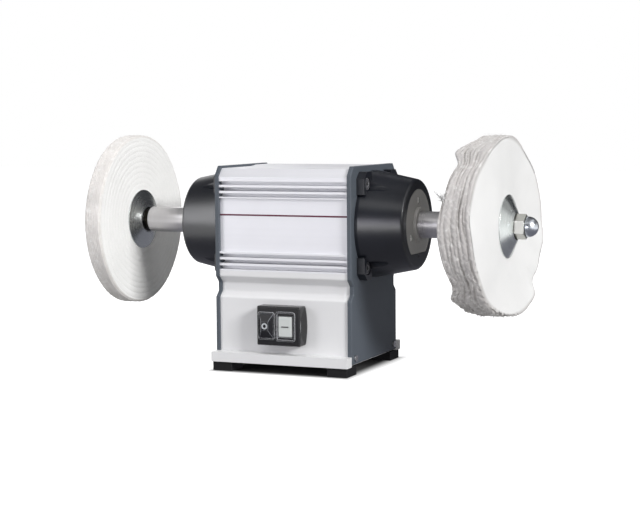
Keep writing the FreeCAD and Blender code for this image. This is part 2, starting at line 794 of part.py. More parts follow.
def base_housing():
    """White base: a ledge frame with rails for the plates, and a waisted wall at the front and back."""
    width = f"2 * {PLATE_IN}"
    left = f"-1 * {PLATE_IN}"
    walls = [rounded(slab(f"base_{name}_wall", base_side(sign), left, width), at_waist, "waist_round")
             for name, sign in (("front", -1), ("rear", 1))]
    frame = block("base_frame", (f"-1 * {PLATE_OUT}", f"-1 * {LEDGE_Y}", "foot_height"),
                  (f"2 * {PLATE_OUT}", f"2 * {LEDGE_Y}", "ledge_height"))
    rail_y = f"({BASE_Y} - base_wall / 2)"
    rails = block("base_rails", (left, f"-1 * {rail_y}", "foot_height"),
                  (width, f"2 * {rail_y}", "rail_height"))
    well = block("base_well", (f"-1 * {WELL_X}", f"-1 * {WELL_Y}", "foot_height - overrun"),
                 (f"2 * {WELL_X}", f"2 * {WELL_Y}", "rail_height + 2 * overrun"))
    above = block("base_above_rail", (f"-1 * {WELL_X}", f"-1 * ({BASE_Y} - base_wall)", LEDGE_TOP),
                  (f"2 * {WELL_X}", f"2 * ({BASE_Y} - base_wall)", "rail_height"))
    rebate_x = f"({WELL_X} + cover_overlap)"
    rebate_y = f"({WELL_Y} + cover_overlap)"
    rebate = block("base_rebate",
                   (f"-1 * {rebate_x}", f"-1 * {rebate_y}", "foot_height - overrun"),
                   (f"2 * {rebate_x}", f"2 * {rebate_y}", "cover_sheet + overrun"))
    tools = [well, above, rebate, switch_cutout()]
    for name, start in (("left", f"-1 * {PLATE_OUT} - overrun"), ("right", PLATE_IN)):
        tools.append(block(f"base_{name}_slot", (start, f"-1 * {HALF_DEPTH}", "foot_height - overrun"),
                           ("plate_thickness + overrun", "plate_depth", "ledge_height + 2 * overrun")))
    tools.append(rod("base_gland_hole", ("gland_x", f"{BASE_Y} - base_wall - overrun", GLAND_Z), "y",
                     "gland_thread + thread_gap", "base_wall + 2 * overrun"))
    for number, (x_sign, y_sign) in enumerate(CORNERS):
        foot_x, foot_y = foot_middle(x_sign, y_sign)
        tools.append(rod(f"base_bench_hole_{number}", (foot_x, foot_y, "foot_height - overrun"), "z",
                         "bench_hole", "bench_hole_depth + overrun"))
        screw_x, screw_y = foot_screw_place(x_sign, y_sign)
        tools.append(rod(f"base_foot_screw_{number}", (screw_x, screw_y, "foot_height - overrun"), "z",
                         "foot_screw_radius + thread_gap",
                         "foot_screw_recess + foot_screw_length - foot_height + overrun"))
        start = f"{PLATE_OUT} - plate_screw_length" if x_sign > 0 else f"-1 * {PLATE_OUT}"
        tools.append(rod(f"base_plate_screw_{number}", (start, f"{y_sign} * {PLATE_SCREW_Y}", PLATE_SCREW_Z),
                         "x", "plate_screw_radius + thread_gap", "plate_screw_length"))
    for number, (y_sign, start) in enumerate(boss_notches()):
        place = (start, f"{y_sign} * ear_bolt_y", f"{SHAFT_Z} - ear_bolt_z")
        tools.append(rod(f"base_boss_notch_{number}", place, "x", "boss_radius + cover_gap",
                         "boss_length + overrun"))
    for number, (x, z) in enumerate(switch_screw_places()):
        tools.append(rod(f"base_switch_screw_{number}", (x, f"-1 * {BASE_Y} - overrun", z), "y",
                         "switch_screw_radius + thread_gap", "base_wall + 2 * overrun"))
    tools.append(rod("base_earth_hole", (f"{PLATE_IN} - base_rail / 2", "earth_y",
                                         "foot_height + rail_height - earth_length"), "z",
                     "earth_radius + thread_gap", "earth_length + overrun"))
    return keep(minus("base", join("base_solid", frame, rails, *walls), *tools), "base_housing")


def bottom_cover():
    """Sheet cover that closes the well of the base from below."""
    x = f"({WELL_X} + cover_overlap - cover_gap)"
    y = f"({WELL_Y} + cover_overlap - cover_gap)"
    return keep(block("cover_plate", (f"-1 * {x}", f"-1 * {y}", "foot_height"),
                      (f"2 * {x}", f"2 * {y}", "cover_sheet")), "bottom_cover")


def rubber_feet():
    """Four square rubber feet, each with a bench bolt hole and a sunk fixing screw."""
    feet = []
    for number, (x_sign, y_sign) in enumerate(CORNERS):
        middle_x, middle_y = foot_middle(x_sign, y_sign)
        screw_x, screw_y = foot_screw_place(x_sign, y_sign)
        corner = (f"{middle_x} - foot_width / 2", f"{middle_y} - foot_depth / 2", "0")
        pad = block(f"foot_{number}_pad", corner, ("foot_width", "foot_depth", "foot_height"))
        tools = [
            rod(f"foot_{number}_bolt", (middle_x, middle_y, "-1 * overrun"), "z", "bench_hole",
                "foot_height + 2 * overrun"),
            rod(f"foot_{number}_screw", (screw_x, screw_y, "-1 * overrun"), "z",
                "foot_screw_radius + thread_gap", "foot_height + 2 * overrun"),
            rod(f"foot_{number}_recess", (screw_x, screw_y, "-1 * overrun"), "z",
                "foot_screw_head + thread_gap", "foot_screw_recess + overrun"),
        ]
        feet.append(minus(f"foot_{number}", pad, *tools))
    return keep(group("feet", *feet), "rubber_feet")


def foot_screws():
    pieces = []
    for number, signs in enumerate(CORNERS):
        x, y = foot_screw_place(*signs)
        pieces.append(screw(f"foot_screw_{number}", (x, y, "foot_screw_recess"), "z", -1, "foot_screw_radius",
                            "foot_screw_length", "foot_screw_head", "foot_screw_head_height",
                            "foot_screw_socket"))
    return keep(group("foot_screw_group", *pieces), "foot_screws")


def plate_screws():
    pieces = []
    for number, (x_sign, y_sign) in enumerate(CORNERS):
        seat = (f"{x_sign} * {PLATE_OUT}", f"{y_sign} * {PLATE_SCREW_Y}", PLATE_SCREW_Z)
        pieces.append(screw(f"plate_screw_{number}", seat, "x", x_sign, "plate_screw_radius",
                            "plate_screw_length", "plate_screw_head", "plate_screw_head_height",
                            "plate_screw_socket"))
    return keep(group("plate_screw_group", *pieces), "plate_screws")


def cover_shape(name, start, radius, length, flat):
    """A disc about the spindle with one flat at the bottom."""
    disc = rod(name + "_disc", (start, "0", "0"), "x", radius, length)
    below = block(name + "_below", (f"{start} - overrun", f"-1 * {radius}", f"-2 * {radius}"),
                  (f"{length} + 2 * overrun", f"2 * {radius}", f"2 * {radius} - ({flat})"))
    return minus(name, disc, below)


def cover_screw_places():
    """The three screws of a bearing cover, the first one straight up."""
    return [(f"cover_screw_circle * cos({angle})", f"cover_screw_circle * sin({angle})")
            for angle in (90, 210, 330)]


def end_bell(name, turned_round):
    """Black cone-shaped end bell with four corner ears, a bearing seat and a recess for the cover."""
    body = turned(name + "_turned", [
        (f"{PLATE_OUT} - bell_spigot_length", "plate_bore - seat_gap - bell_spigot_wall"),
        (f"{PLATE_OUT} - bell_spigot_length", "plate_bore - seat_gap"),
        (PLATE_OUT, "plate_bore - seat_gap"),
        (PLATE_OUT, "bell_root"),
        (f"{PLATE_OUT} + bell_root_length", "bell_root"),
        (BELL_END_X, "bell_end_radius"),
        (BELL_END_X, "bearing_outer + seat_gap"),
        (BEARING_X, "bearing_outer + seat_gap"),
        (BEARING_X, "bearing_lip_bore"),
        (f"{BEARING_X} - bearing_lip", "bearing_lip_bore"),
        (f"{BEARING_X} - bearing_lip", "bell_hub_radius"),
        (f"{BELL_END_X} - bell_web_thickness", "bell_hub_radius"),
        (f"{BELL_END_X} - bell_web_thickness", "bell_cavity_end"),
    ])
    rounded(body, end_circle(body, 2 * value("cover_radius")), "bell_end_round")
    ears = []
    for number, (y_sign, z_sign) in enumerate(CORNERS):
        y = "ear_inner_y" if y_sign > 0 else "-1 * ear_half_depth"
        z = "ear_inner" if z_sign > 0 else "-1 * ear_outer"
        ears.append(block(f"{name}_ear_{number}", (PLATE_OUT, y, z),
                          ("ear_face", "ear_half_depth - ear_inner_y", "ear_outer - ear_inner")))
    limit = rod(name + "_ear_limit", (PLATE_OUT, "0", "0"), "x", "ear_corner_radius", "ear_face")
    solid = join(name + "_solid", body, common(name + "_ears", join(name + "_ear_blocks", *ears), limit))
    tools = [cover_shape(name + "_recess", COVER_IN_X, "(cover_radius + cover_slit)",
                         "(cover_thickness + overrun)", "cover_flat + cover_slit")]
    for number, (y_sign, z_sign) in enumerate(CORNERS):
        y, z = f"{y_sign} * ear_bolt_y", f"{z_sign} * ear_bolt_z"
        tools.append(rod(f"{name}_pocket_{number}", (f"{PLATE_OUT} + ear_face - ear_pocket_depth", y, z), "x",
                         "ear_pocket", "bell_length"))
        tools.append(rod(f"{name}_bolt_{number}", (f"{PLATE_OUT} - overrun", y, z), "x",
                         "ear_bolt_radius + thread_gap", "ear_face + overrun"))
    for number, (y, z) in enumerate(cover_screw_places()):
        tools.append(rod(f"{name}_cover_screw_{number}", (f"{COVER_IN_X} - cover_screw_length", y, z), "x",
                         "cover_screw_radius + thread_gap", "cover_screw_length + overrun"))
    tools.append(rod(name + "_drain", (f"{BELL_END_X} - drain_depth", "0", "-1 * drain_drop"), "x",
                     "drain_hole", "drain_depth + overrun"))
    return keep(on_shaft(minus(name, solid, *tools), turned_round), name)


def bell_screws():
    """Eight sunk cap screws, four for each bell."""
    pieces = []
    for end, turned_round in sides():
        four = []
        for number, (y_sign, z_sign) in enumerate(CORNERS):
            seat = (f"({PLATE_OUT} + ear_face - ear_pocket_depth)", f"{y_sign} * ear_bolt_y",
                    f"{z_sign} * ear_bolt_z")
            four.append(screw(f"{end}_bell_screw_{number}", seat, "x", 1, "ear_bolt_radius",
                              "ear_bolt_length", "ear_bolt_head", "ear_bolt_head_height", "ear_bolt_socket"))
        pieces.append(on_shaft(group(f"{end}_bell_screw_group", *four), turned_round))
    return keep(group("bell_screw_group", *pieces), "bell_screws")


def bearing_cover(name, turned_round, spring):
    """Grey cover with a raised boss, a flat at the bottom and three sunk screws."""
    body = turned(name + "_turned", [
        (f"{BEARING_OUT_X} + {spring}", "cover_spigot_bore"),
        (f"{BEARING_OUT_X} + {spring}", "cover_spigot_radius"),
        (COVER_IN_X, "cover_spigot_radius"),
        (COVER_IN_X, "cover_radius"),
        (BELL_END_X, "cover_radius"),
        (BELL_END_X, "cover_boss_radius"),
        (COVER_OUT_X, "cover_boss_radius"),
        (COVER_OUT_X, "cover_bore"),
        (f"{COVER_OUT_X} - cover_lip", "cover_bore"),
        (f"{COVER_OUT_X} - cover_lip", "cover_seal_radius"),
        (COVER_IN_X, "cover_seal_radius"),
        (COVER_IN_X, "cover_spigot_bore"),
    ])
    tools = [block(name + "_below", (f"{COVER_IN_X} - overrun", "-1 * cover_radius", "-2 * cover_radius"),
                   ("cover_thickness + 2 * overrun", "2 * cover_radius", "2 * cover_radius - cover_flat"))]
    for number, (y, z) in enumerate(cover_screw_places()):
        tools.append(rod(f"{name}_pocket_{number}", (f"{BELL_END_X} - cover_screw_sunk", y, z), "x",
                         "cover_screw_pocket", "cover_screw_sunk + overrun"))
        tools.append(rod(f"{name}_screw_{number}", (f"{COVER_IN_X} - overrun", y, z), "x",
                         "cover_screw_radius + thread_gap", "cover_thickness + 2 * overrun"))
    return keep(on_shaft(minus(name, body, *tools), turned_round), name)


def cover_screws():
    pieces = []
    for end, turned_round in sides():
        three = []
        for number, (y, z) in enumerate(cover_screw_places()):
            seat = (f"({BELL_END_X} - cover_screw_sunk)", y, z)
            three.append(screw(f"{end}_cover_screw_{number}", seat, "x", 1,
                               "cover_screw_radius", "cover_screw_length", "cover_screw_head",
                               "cover_screw_head_height", "cover_screw_socket"))
        pieces.append(on_shaft(group(f"{end}_cover_screw_group", *three), turned_round))
    return keep(group("cover_screw_group", *pieces), "cover_screws")


def ring(name, start, inner, outer, length):
    """A plain ring about the X axis."""
    return turned(name, [(start, inner), (start, outer), (f"{start} + {length}", outer),
                         (f"{start} + {length}", inner)])


def seal_rings():
    """Felt rings between the spindle sleeves and the bearing covers."""
    length = "cover_thickness + cover_boss_height - cover_lip"
    inside = "sleeve_radius + seal_gap"
    outside = "cover_seal_radius - seat_gap"
    pieces = []
    for end, turned_round in sides():
        seal = ring(f"{end}_seal", COVER_IN_X, inside, outside, length)
        pieces.append(on_shaft(seal, turned_round))
    return keep(group("seal_group", *pieces), "seal_rings")


def wave_spring():
    """Ring spring that loads the left bearing."""
    return keep(on_shaft(ring("spring_ring", BEARING_OUT_X, "cover_spigot_bore", "cover_spigot_radius",
                              "spring_height"), True), "wave_spring")


def ball_track(name):
    """The torus that the balls run in."""
    track = doc.addObject("Part::Torus", name)
    track.Placement = FreeCAD.Placement(FreeCAD.Vector(), TURNS["x"])
    follow(track, Radius1="bearing_pitch", Radius2="ball_radius + race_gap")
    return move(track, (f"{BEARING_X} + bearing_width / 2", "0", "0"))


def bearing(end, turned_round):
    """Deep groove ball bearing: two races, a ring of balls and their cage."""
    outer = ring(f"{end}_outer_blank", BEARING_X, "bearing_outer_inside", "bearing_outer", "bearing_width")
    inner = ring(f"{end}_inner_blank", BEARING_X, "bearing_inner + seat_gap", "bearing_inner_outside",
                 "bearing_width")
    keep(on_shaft(minus(f"{end}_outer", outer, ball_track(f"{end}_outer_track")), turned_round),
         f"{end}_bearing_outer_race")
    keep(on_shaft(minus(f"{end}_inner", inner, ball_track(f"{end}_inner_track")), turned_round),
         f"{end}_bearing_inner_race")
    middle = f"{BEARING_X} + bearing_width / 2"
    places = [(middle, f"bearing_pitch * cos({angle})", f"bearing_pitch * sin({angle})")
              for angle in (360 * number / value("ball_count") for number in range(value("ball_count")))]
    balls = [ball(f"{end}_ball_{number}", place, "ball_radius") for number, place in enumerate(places)]
    keep(on_shaft(group(f"{end}_ball_group", *balls), turned_round), f"{end}_bearing_balls")
    blank = ring(f"{end}_cage_blank", f"{middle} - cage_width / 2", "cage_inner", "cage_outer", "cage_width")
    pockets = [ball(f"{end}_pocket_{number}", place, "ball_radius + cage_pocket_gap")
               for number, place in enumerate(places)]
    keep(on_shaft(minus(f"{end}_cage", blank, *pockets), turned_round), f"{end}_bearing_cage")


def stator_core():
    """Stack of laminations with a ring of round slots."""
    blank = on_shaft(ring("stator_blank", "-1 * stator_half", "stator_bore", STATOR_RADIUS,
                          "2 * stator_half"))
    circle = f"(({STATOR_RADIUS} + stator_bore) / 2)"
    radius = f"(({STATOR_RADIUS} - stator_bore) * slot_size_share)"
    slots = []
    for number in range(value("slot_count")):
        angle = 360 * number / value("slot_count")
        across = f"{circle} * cos({angle})"
        up = f"{SHAFT_Z} + {circle} * sin({angle})"
        place = ("-1 * stator_half - overrun", across, up)
        slots.append(rod(f"slot_{number}", place, "x", radius, "2 * stator_half + 2 * overrun"))
    return keep(minus("stator", blank, *slots), "stator_core")


def winding_head(name, turned_round):
    """Rounded ring of wound copper where the coils turn round at the end of the stack."""
    inner = "(stator_bore + head_inner_step)"
    outer = f"({STATOR_RADIUS} - head_outer_step)"
    body = ring(name + "_ring", "stator_half + head_gap", inner, outer, "head_length")
    rounded(body, end_circle(body, value("stator_bore")), f"({outer} - {inner}) * head_round_share")
    return keep(on_shaft(body, turned_round), name)


def rotor():
    core = ring("rotor_ring", "-1 * stator_half", "shaft_core_radius + seat_gap", "rotor_radius",
                "2 * stator_half")
    keep(on_shaft(core), "rotor_core")
    rings = [on_shaft(ring(f"{end}_end_ring", "stator_half", "end_ring_inner", "end_ring_outer",
                           "end_ring_length"), turned_round) for end, turned_round in sides()]
    keep(group("end_ring_group", *rings), "rotor_end_rings")


def nut_start(hub):
    """Where the hex nut starts, inside the mouth of the outer flange."""
    return f"({FLANGE_FACE} + {hub} + flange_length - flange_mouth_depth)"


def cap_middle(hub):
    return f"({nut_start(hub)} + nut_height + cap_neck_length + cap_sink)"


def bore_end(hub):
    return f"({cap_middle(hub)} + cap_radius - cap_wall)"


def spindle_shaft():
    """One stepped shaft: core, bearing seats, and long thin ends for the sleeves, flanges and buffs."""
    right = f"({bore_end('loose_hub')} - spindle_end_gap)"
    left = f"(-1 * {bore_end('sewn_hub')} + spindle_end_gap)"
    outline = [
        (left, "0"),
        (left, "spindle_radius - spindle_end_chamfer"),
        (f"{left} + spindle_end_chamfer", "spindle_radius"),
        (f"-1 * {BEARING_OUT_X}", "spindle_radius"),
        (f"-1 * {BEARING_OUT_X}", "bearing_inner"),
        (f"-1 * {BEARING_X}", "bearing_inner"),
        (f"-1 * {BEARING_X}", "shaft_core_radius"),
        (BEARING_X, "shaft_core_radius"),
        (BEARING_X, "bearing_inner"),
        (BEARING_OUT_X, "bearing_inner"),
        (BEARING_OUT_X, "spindle_radius"),
        (f"{right} - spindle_end_chamfer", "spindle_radius"),
        (right, "spindle_radius - spindle_end_chamfer"),
        (right, "0"),
    ]
    return keep(on_shaft(turned("shaft", outline)), "spindle_shaft")


def spindle_sleeve(name, turned_round):
    """Turned sleeve from the bearing to the inner flange, with fine rings near the cover."""
    outline = [
        (BEARING_OUT_X, "spindle_radius + bore_gap"),
        (BEARING_OUT_X, "sleeve_nose_radius"),
        (f"{BEARING_OUT_X} + sleeve_nose_length", "sleeve_nose_radius"),
        (f"{BEARING_OUT_X} + sleeve_nose_length", "sleeve_radius"),
    ]
    for number in range(value("sleeve_ring_count")):
        start = f"{COVER_OUT_X} + sleeve_ring_start + {number} * sleeve_ring_pitch"
        outline += [
            (start, "sleeve_radius"),
            (start, "sleeve_radius - sleeve_ring_depth"),
            (f"{start} + sleeve_ring_width", "sleeve_radius - sleeve_ring_depth"),
            (f"{start} + sleeve_ring_width", "sleeve_radius"),
        ]
    outline += [
        (f"{SLEEVE_END_X} - sleeve_chamfer", "sleeve_radius"),
        (SLEEVE_END_X, "sleeve_radius - sleeve_chamfer"),
        (SLEEVE_END_X, "spindle_radius + bore_gap"),
    ]
    return keep(on_shaft(turned(name + "_turned", outline), turned_round), name)


def inner_flange(name, turned_round):
    """Cone that backs the buff, with a narrow hub against the sleeve."""
    outline = [
        (SLEEVE_END_X, "spindle_radius + bore_gap"),
        (SLEEVE_END_X, "flange_hub_radius"),
        (f"{SLEEVE_END_X} + flange_hub_length", "flange_hub_radius"),
        (f"{SLEEVE_END_X} + flange_hub_length", "flange_back"),
        (f"{FLANGE_FACE} - flange_rim", "flange_radius"),
        (FLANGE_FACE, "flange_radius"),
        (FLANGE_FACE, "spindle_radius + bore_gap"),
    ]
    return keep(on_shaft(turned(name + "_turned", outline), turned_round), name)


def outer_flange(name, turned_round, hub):
    """Cone that clamps the buff from outside, with a mouth that the nut sits in."""
    face = f"({FLANGE_FACE} + {hub})"
    outline = [
        (face, "spindle_radius + bore_gap"),
        (face, "flange_radius"),
        (f"{face} + flange_rim", "flange_radius"),
        (f"{face} + flange_length", "flange_neck"),
        (f"{face} + flange_length", "flange_mouth"),
        (nut_start(hub), "flange_mouth"),
        (nut_start(hub), "spindle_radius + bore_gap"),
    ]
    return keep(on_shaft(turned(name + "_turned", outline), turned_round), name)


def hex_nut(name, turned_round, hub):
    """Six-sided nut with both faces chamfered."""
    start = nut_start(hub)
    prism = hexagon(name + "_prism", (start, "0", "0"), "x", "nut_across_flats", "nut_height")
    corner = "nut_across_flats / sqrt(3)"
    limit = turned(name + "_limit", [
        (start, "0"),
        (start, "nut_across_flats / 2"),
        (f"{start} + nut_chamfer", corner),
        (f"{start} + nut_height - nut_chamfer", corner),
        (f"{start} + nut_height", "nut_across_flats / 2"),
        (f"{start} + nut_height", "0"),
    ])
    bore = rod(name + "_bore", (f"{start} - overrun", "0", "0"), "x", "spindle_radius + bore_gap",
               "nut_height + 2 * overrun")
    return keep(on_shaft(minus(name, common(name + "_solid", prism, limit), bore), turned_round), name)


def cap_nut(name, turned_round, hub):
    """Domed cap on a short neck, drilled for the end of the shaft."""
    start = f"({nut_start(hub)} + nut_height)"
    dome = ball(name + "_dome", (cap_middle(hub), "0", "0"), "cap_radius")
    half = block(name + "_half", (f"{start} + cap_neck_length", "-1 * cap_radius - overrun",
                                  "-1 * cap_radius - overrun"),
                 ("2 * cap_radius", "2 * (cap_radius + overrun)", "2 * (cap_radius + overrun)"))
    neck = rod(name + "_neck", (start, "0", "0"), "x", "cap_neck_radius", "cap_neck_length + cap_sink")
    bore = rod(name + "_bore", (f"{start} - overrun", "0", "0"), "x", "spindle_radius + bore_gap",
               f"{bore_end(hub)} - {start} + overrun")
    solid = join(name + "_solid", common(name + "_cut_dome", dome, half), neck)
    return keep(on_shaft(minus(name, solid, bore), turned_round), name)


def sewn_buff():
    """Stitched cloth wheel: a flat disc with a lightly rounded rim."""
    body = ring("sewn_disc", FLANGE_FACE, "spindle_radius + buff_bore_gap", "buff_radius", "sewn_hub")
    rounded(body, lambda edge: edge.BoundBox.ZLength > value("buff_radius") and edge.BoundBox.XLength < NEAR,
            "sewn_round")
    return keep(on_shaft(body, True), "sewn_buff")


# The waves round the rim of the loose buff, on its inner face, its outer face and in its radius: the size
# of each wave, how often it repeats in a turn, and where it peaks as a share of one wave.
WAVES_IN = (("loose_lean_in", 1, 0.005), ("loose_fold_in", 2, 0.52), ("loose_ripple_in", 6, 0.483))
WAVES_OUT = (("loose_lean_out", 1, 0.944), ("loose_fold_out", 2, 0.589), ("loose_ripple_out", 4, 0.225))
LOBES = (("loose_lobe", 5, 0.1),)


def wave(angle, *terms):
    """The sum of these waves at an angle round the wheel."""
    full = 2 * math.pi
    return sum(value(name) * math.cos(times * angle - full * peak_share) for name, times, peak_share in terms)


def loose_section(angle):
    """One radial cut through the loose buff: thin at the clamped hub, thick and waving at the rim. The
    corners are distances along X from the back flange, and radii."""
    hub = value("loose_hub")
    rim_in = wave(angle, *WAVES_IN) - value("loose_spread_in")
    rim_out = hub + value("loose_spread_out") + wave(angle, *WAVES_OUT)
    rim_radius = value("buff_radius") - value("loose_lobe") + wave(angle, *LOBES)
    bore = value("spindle_radius") + value("buff_bore_gap")
    clamp = value("flange_radius") + value("buff_bore_gap")
    middle = (clamp + rim_radius) / 2
    middle_share = value("loose_middle_share")
    points = [
        (0, bore),
        (0, clamp),
        (rim_in * middle_share, middle),
        (rim_in, rim_radius - value("loose_round")),
        (rim_in + value("loose_round"), rim_radius),
        (rim_out - value("loose_round"), rim_radius),
        (rim_out, rim_radius - value("loose_round")),
        (hub + (rim_out - hub) * middle_share, middle),
        (hub, clamp),
        (hub, bore),
    ]
    turn = FreeCAD.Rotation(FreeCAD.Vector(1, 0, 0), math.degrees(angle))
    corners = [turn.multVec(FreeCAD.Vector(x, radius, 0)) for x, radius in points]
    return Part.makePolygon(corners + corners[:1])


def loose_buff():
    """Loose cloth wheel whose plies flop towards the housing at the front and away at the back."""
    count = value("loose_section_count")
    cuts = [loose_section(2 * math.pi * number / count) for number in range(count)]
    solid = Part.makeLoft(cuts, True, True, True)
    piece = doc.addObject("Part::Feature", "loose")
    piece.Shape = solid
    on_shaft(piece)
    piece.setExpression("Placement.Base.x", linked(FLANGE_FACE))
    return keep(piece, "loose_buff")


def front_block(name, corner, lengths):
    """A block with its left, front and bottom corner given, ready to be rounded."""
    x, y, z = corner
    width, depth, height = lengths
    outline = [(y, z), (f"{y} + {depth}", z), (f"{y} + {depth}", f"{z} + {height}"), (y, f"{z} + {height}")]
    body = slab(name, outline, x, width)
    doc.recompute()
    return body


def rounded_corners(body, radius):
    """Rounds the four edges that run from front to back."""
    return rounded(body, lambda edge: edge.BoundBox.XLength < NEAR and edge.BoundBox.ZLength < NEAR, radius)


def rounded_front(body, radius):
    """Rounds every edge but those of the back face."""
    back = max(corner.Y for corner in body.Shape.Vertexes)
    return rounded(body, lambda edge: edge.BoundBox.YMin < back - NEAR, radius)


def frame_rim(name, left, bottom, width, height):
    """Raised rim with round corners round a button, on the face of the switch housing."""
    depth = "(frame_rise + frame_wall)"
    face = f"(-1 * {SWITCH_FACE} - frame_rise)"
    outer = front_block(name + "_outer", (left, face, bottom), (width, depth, height))
    corner = (f"{left} + frame_wall", f"{face} - overrun", f"({bottom} + frame_wall)")
    lengths = (f"{width} - 2 * frame_wall", f"({depth} + 2 * overrun)", f"({height} - 2 * frame_wall)")
    inner = front_block(name + "_inner", corner, lengths)
    outer = rounded_corners(outer, "frame_round")
    inner = rounded_corners(inner, "frame_round - frame_wall")
    return minus(name, outer, inner)


STOP_FRAME = ("(switch_left + stop_frame_in)", f"({SWITCH_BOTTOM} + stop_frame_up)", "stop_frame_width",
              "stop_frame_height")
START_FRAME = ("(switch_left + start_frame_in)", f"({SWITCH_BOTTOM} + start_frame_up)", "start_frame_width",
               "start_frame_height")


def stop_place():
    """Corner and size of the stop button, inside its rim."""
    left, bottom, width, height = STOP_FRAME
    inset = "(frame_wall + button_gap)"
    return (f"({left} + {inset})", f"({bottom} + {inset})", f"({width} - 2 * {inset})",
            f"({height} - 2 * {inset})")


def start_place():
    left, bottom = START_FRAME[:2]
    return (f"({left} + start_in)", f"({bottom} + start_up)", "start_width", "start_height")


def switch_bulge():
    """The right side of the switch housing swells at the middle of its height, most beside the wall."""
    middle = switch_middle()[1]
    radius = "((switch_height * switch_height / 4 + switch_bulge * switch_bulge) / (2 * switch_bulge))"
    side = "(switch_left + switch_width)"
    cone = doc.addObject("Part::Cone", "switch_swell")
    cone.Placement = FreeCAD.Placement(FreeCAD.Vector(), TURNS["y"])
    follow(cone, Radius1=f"{radius} - switch_bulge", Radius2=radius, Height="switch_reach")
    move(cone, (f"{side} + switch_bulge - {radius}", f"-1 * {SWITCH_FACE}", middle))
    corner = (f"{side} - switch_edge", f"-1 * {SWITCH_FACE} + switch_edge", f"{SWITCH_BOTTOM} + switch_edge")
    lengths = ("switch_edge + switch_bulge", "switch_reach - switch_edge", "switch_height - 2 * switch_edge")
    return common("switch_side", cone, block("switch_side_limit", corner, lengths))


def switch_housing():
    """Black switch housing on the front panel: rounded block, two rims and two button wells."""
    body = front_block("switch_block", ("switch_left", f"(-1 * {SWITCH_FACE})", SWITCH_BOTTOM),
                       ("switch_width", "switch_reach", "switch_height"))
    rounded_front(body, "switch_edge")
    rims = [frame_rim("stop_rim", *STOP_FRAME), frame_rim("start_rim", *START_FRAME)]
    tools = []
    for name, (left, bottom, width, height) in (("stop", stop_place()), ("start", start_place())):
        tools.append(block(name + "_well", (f"{left} - button_gap", f"-1 * {SWITCH_FACE} - overrun",
                                            f"{bottom} - button_gap"),
                           (f"{width} + 2 * button_gap", "switch_reach + 2 * overrun",
                            f"{height} + 2 * button_gap")))
    for number, (x, z) in enumerate(switch_screw_places()):
        start = (x, f"-1 * ({BASE_Y} - base_wall) - switch_screw_length", z)
        tools.append(rod(f"switch_screw_hole_{number}", start, "y", "switch_screw_radius + thread_gap",
                         "switch_screw_length"))
    solid = join("switch_solid", body, switch_bulge(), *rims)
    return keep(minus("switch", solid, *tools), "switch_housing")


def button_stem(name, place, front):
    """Round stem from the back of a button towards the switch body."""
    left, bottom, width, height = place
    back = f"(-1 * {front} + button_depth)"
    stem_end = f"(-1 * {BASE_Y} - button_travel - button_stop_gap)"
    middle = (f"({left} + {width} / 2)", back, f"({bottom} + {height} / 2)")
    return rod(name + "_stem", middle, "y", "button_stem", f"{stem_end} - {back}")


def stop_button():
    """Black stop button: a block in its frame that narrows to a small raised top with a pale ring."""
    left, bottom, width, height = place = stop_place()
    front = f"({SWITCH_FACE} + frame_rise - stop_sunk)"
    middle_x = f"({left} + {width} / 2)"
    middle_z = f"({bottom} + {height} / 2)"
    top = f"(-1 * {front} - stop_rise)"
    cap = block("stop_cap", (left, f"-1 * {front}", bottom), (width, "button_depth", height))
    slope = doc.addObject("Part::Wedge", "stop_slope")
    slope.Placement = FreeCAD.Placement(FreeCAD.Vector(), HALF_TURN)
    follow(slope, Xmin=f"-1 * {width} / 2", Xmax=f"{width} / 2", Ymin="0", Ymax="stop_rise",
           Zmin=f"-1 * {height} / 2", Zmax=f"{height} / 2", X2min="-1 * stop_top_width / 2",
           X2max="stop_top_width / 2", Z2min="-1 * stop_top_height / 2", Z2max="stop_top_height / 2")
    move(slope, (middle_x, f"-1 * {front}", middle_z))
    seat = rod("stop_ring_seat", (middle_x, f"{top} - overrun", middle_z), "y",
               "stop_ring_radius + seat_gap", "overrun + stop_ring_sunk")
    solid = join("stop_solid", cap, slope, button_stem("stop", place, front))
    keep(minus("stop", solid, seat), "stop_button")
    ring_y = f"{top} + stop_ring_sunk - stop_ring_height"
    mark = rod("stop_ring_disc", (middle_x, ring_y, middle_z), "y", "stop_ring_radius", "stop_ring_height")
    hole = rod("stop_ring_hole", (middle_x, f"{ring_y} - overrun", middle_z), "y", "stop_ring_bore",
               "stop_ring_height + 2 * overrun")
    keep(minus("stop_mark", mark, hole), "stop_ring")


def start_button():
    """Pale start button with round edges and a short dark bar across the middle."""
    left, bottom, width, height = place = start_place()
    front = f"({SWITCH_FACE} + frame_rise - start_sunk)"
    cap = front_block("start_cap", (left, f"(-1 * {front})", bottom), (width, "button_depth", height))
    rounded_front(cap, "start_round")
    keep(join("start", cap, button_stem("start", place, front)), "start_button")
    corner = (f"{left} + ({width} - start_bar_length) / 2", f"-1 * {front} - start_bar_height",
              f"{bottom} + ({height} - start_bar_width) / 2")
    lengths = ("start_bar_length", "start_bar_height", "start_bar_width")
    keep(block("start_mark", corner, lengths), "start_bar")


def switch_body():
    """Sealed switch module behind the panel."""
    x, z = switch_middle()
    corner = (f"{x} - switch_body_width / 2", f"-1 * {BASE_Y}", f"{z} - switch_body_height / 2")
    return keep(block("module", corner, ("switch_body_width", "switch_body_depth", "switch_body_height")),
                "switch_body")


def switch_screws():
    pieces = [screw(f"switch_screw_{number}", (x, f"(-1 * {BASE_Y} + base_wall)", z), "y", 1,
                    "switch_screw_radius", "switch_screw_length", "switch_screw_head",
                    "switch_screw_head_height", "switch_screw_socket")
              for number, (x, z) in enumerate(switch_screw_places())]
    return keep(group("switch_screw_group", *pieces), "switch_screws")


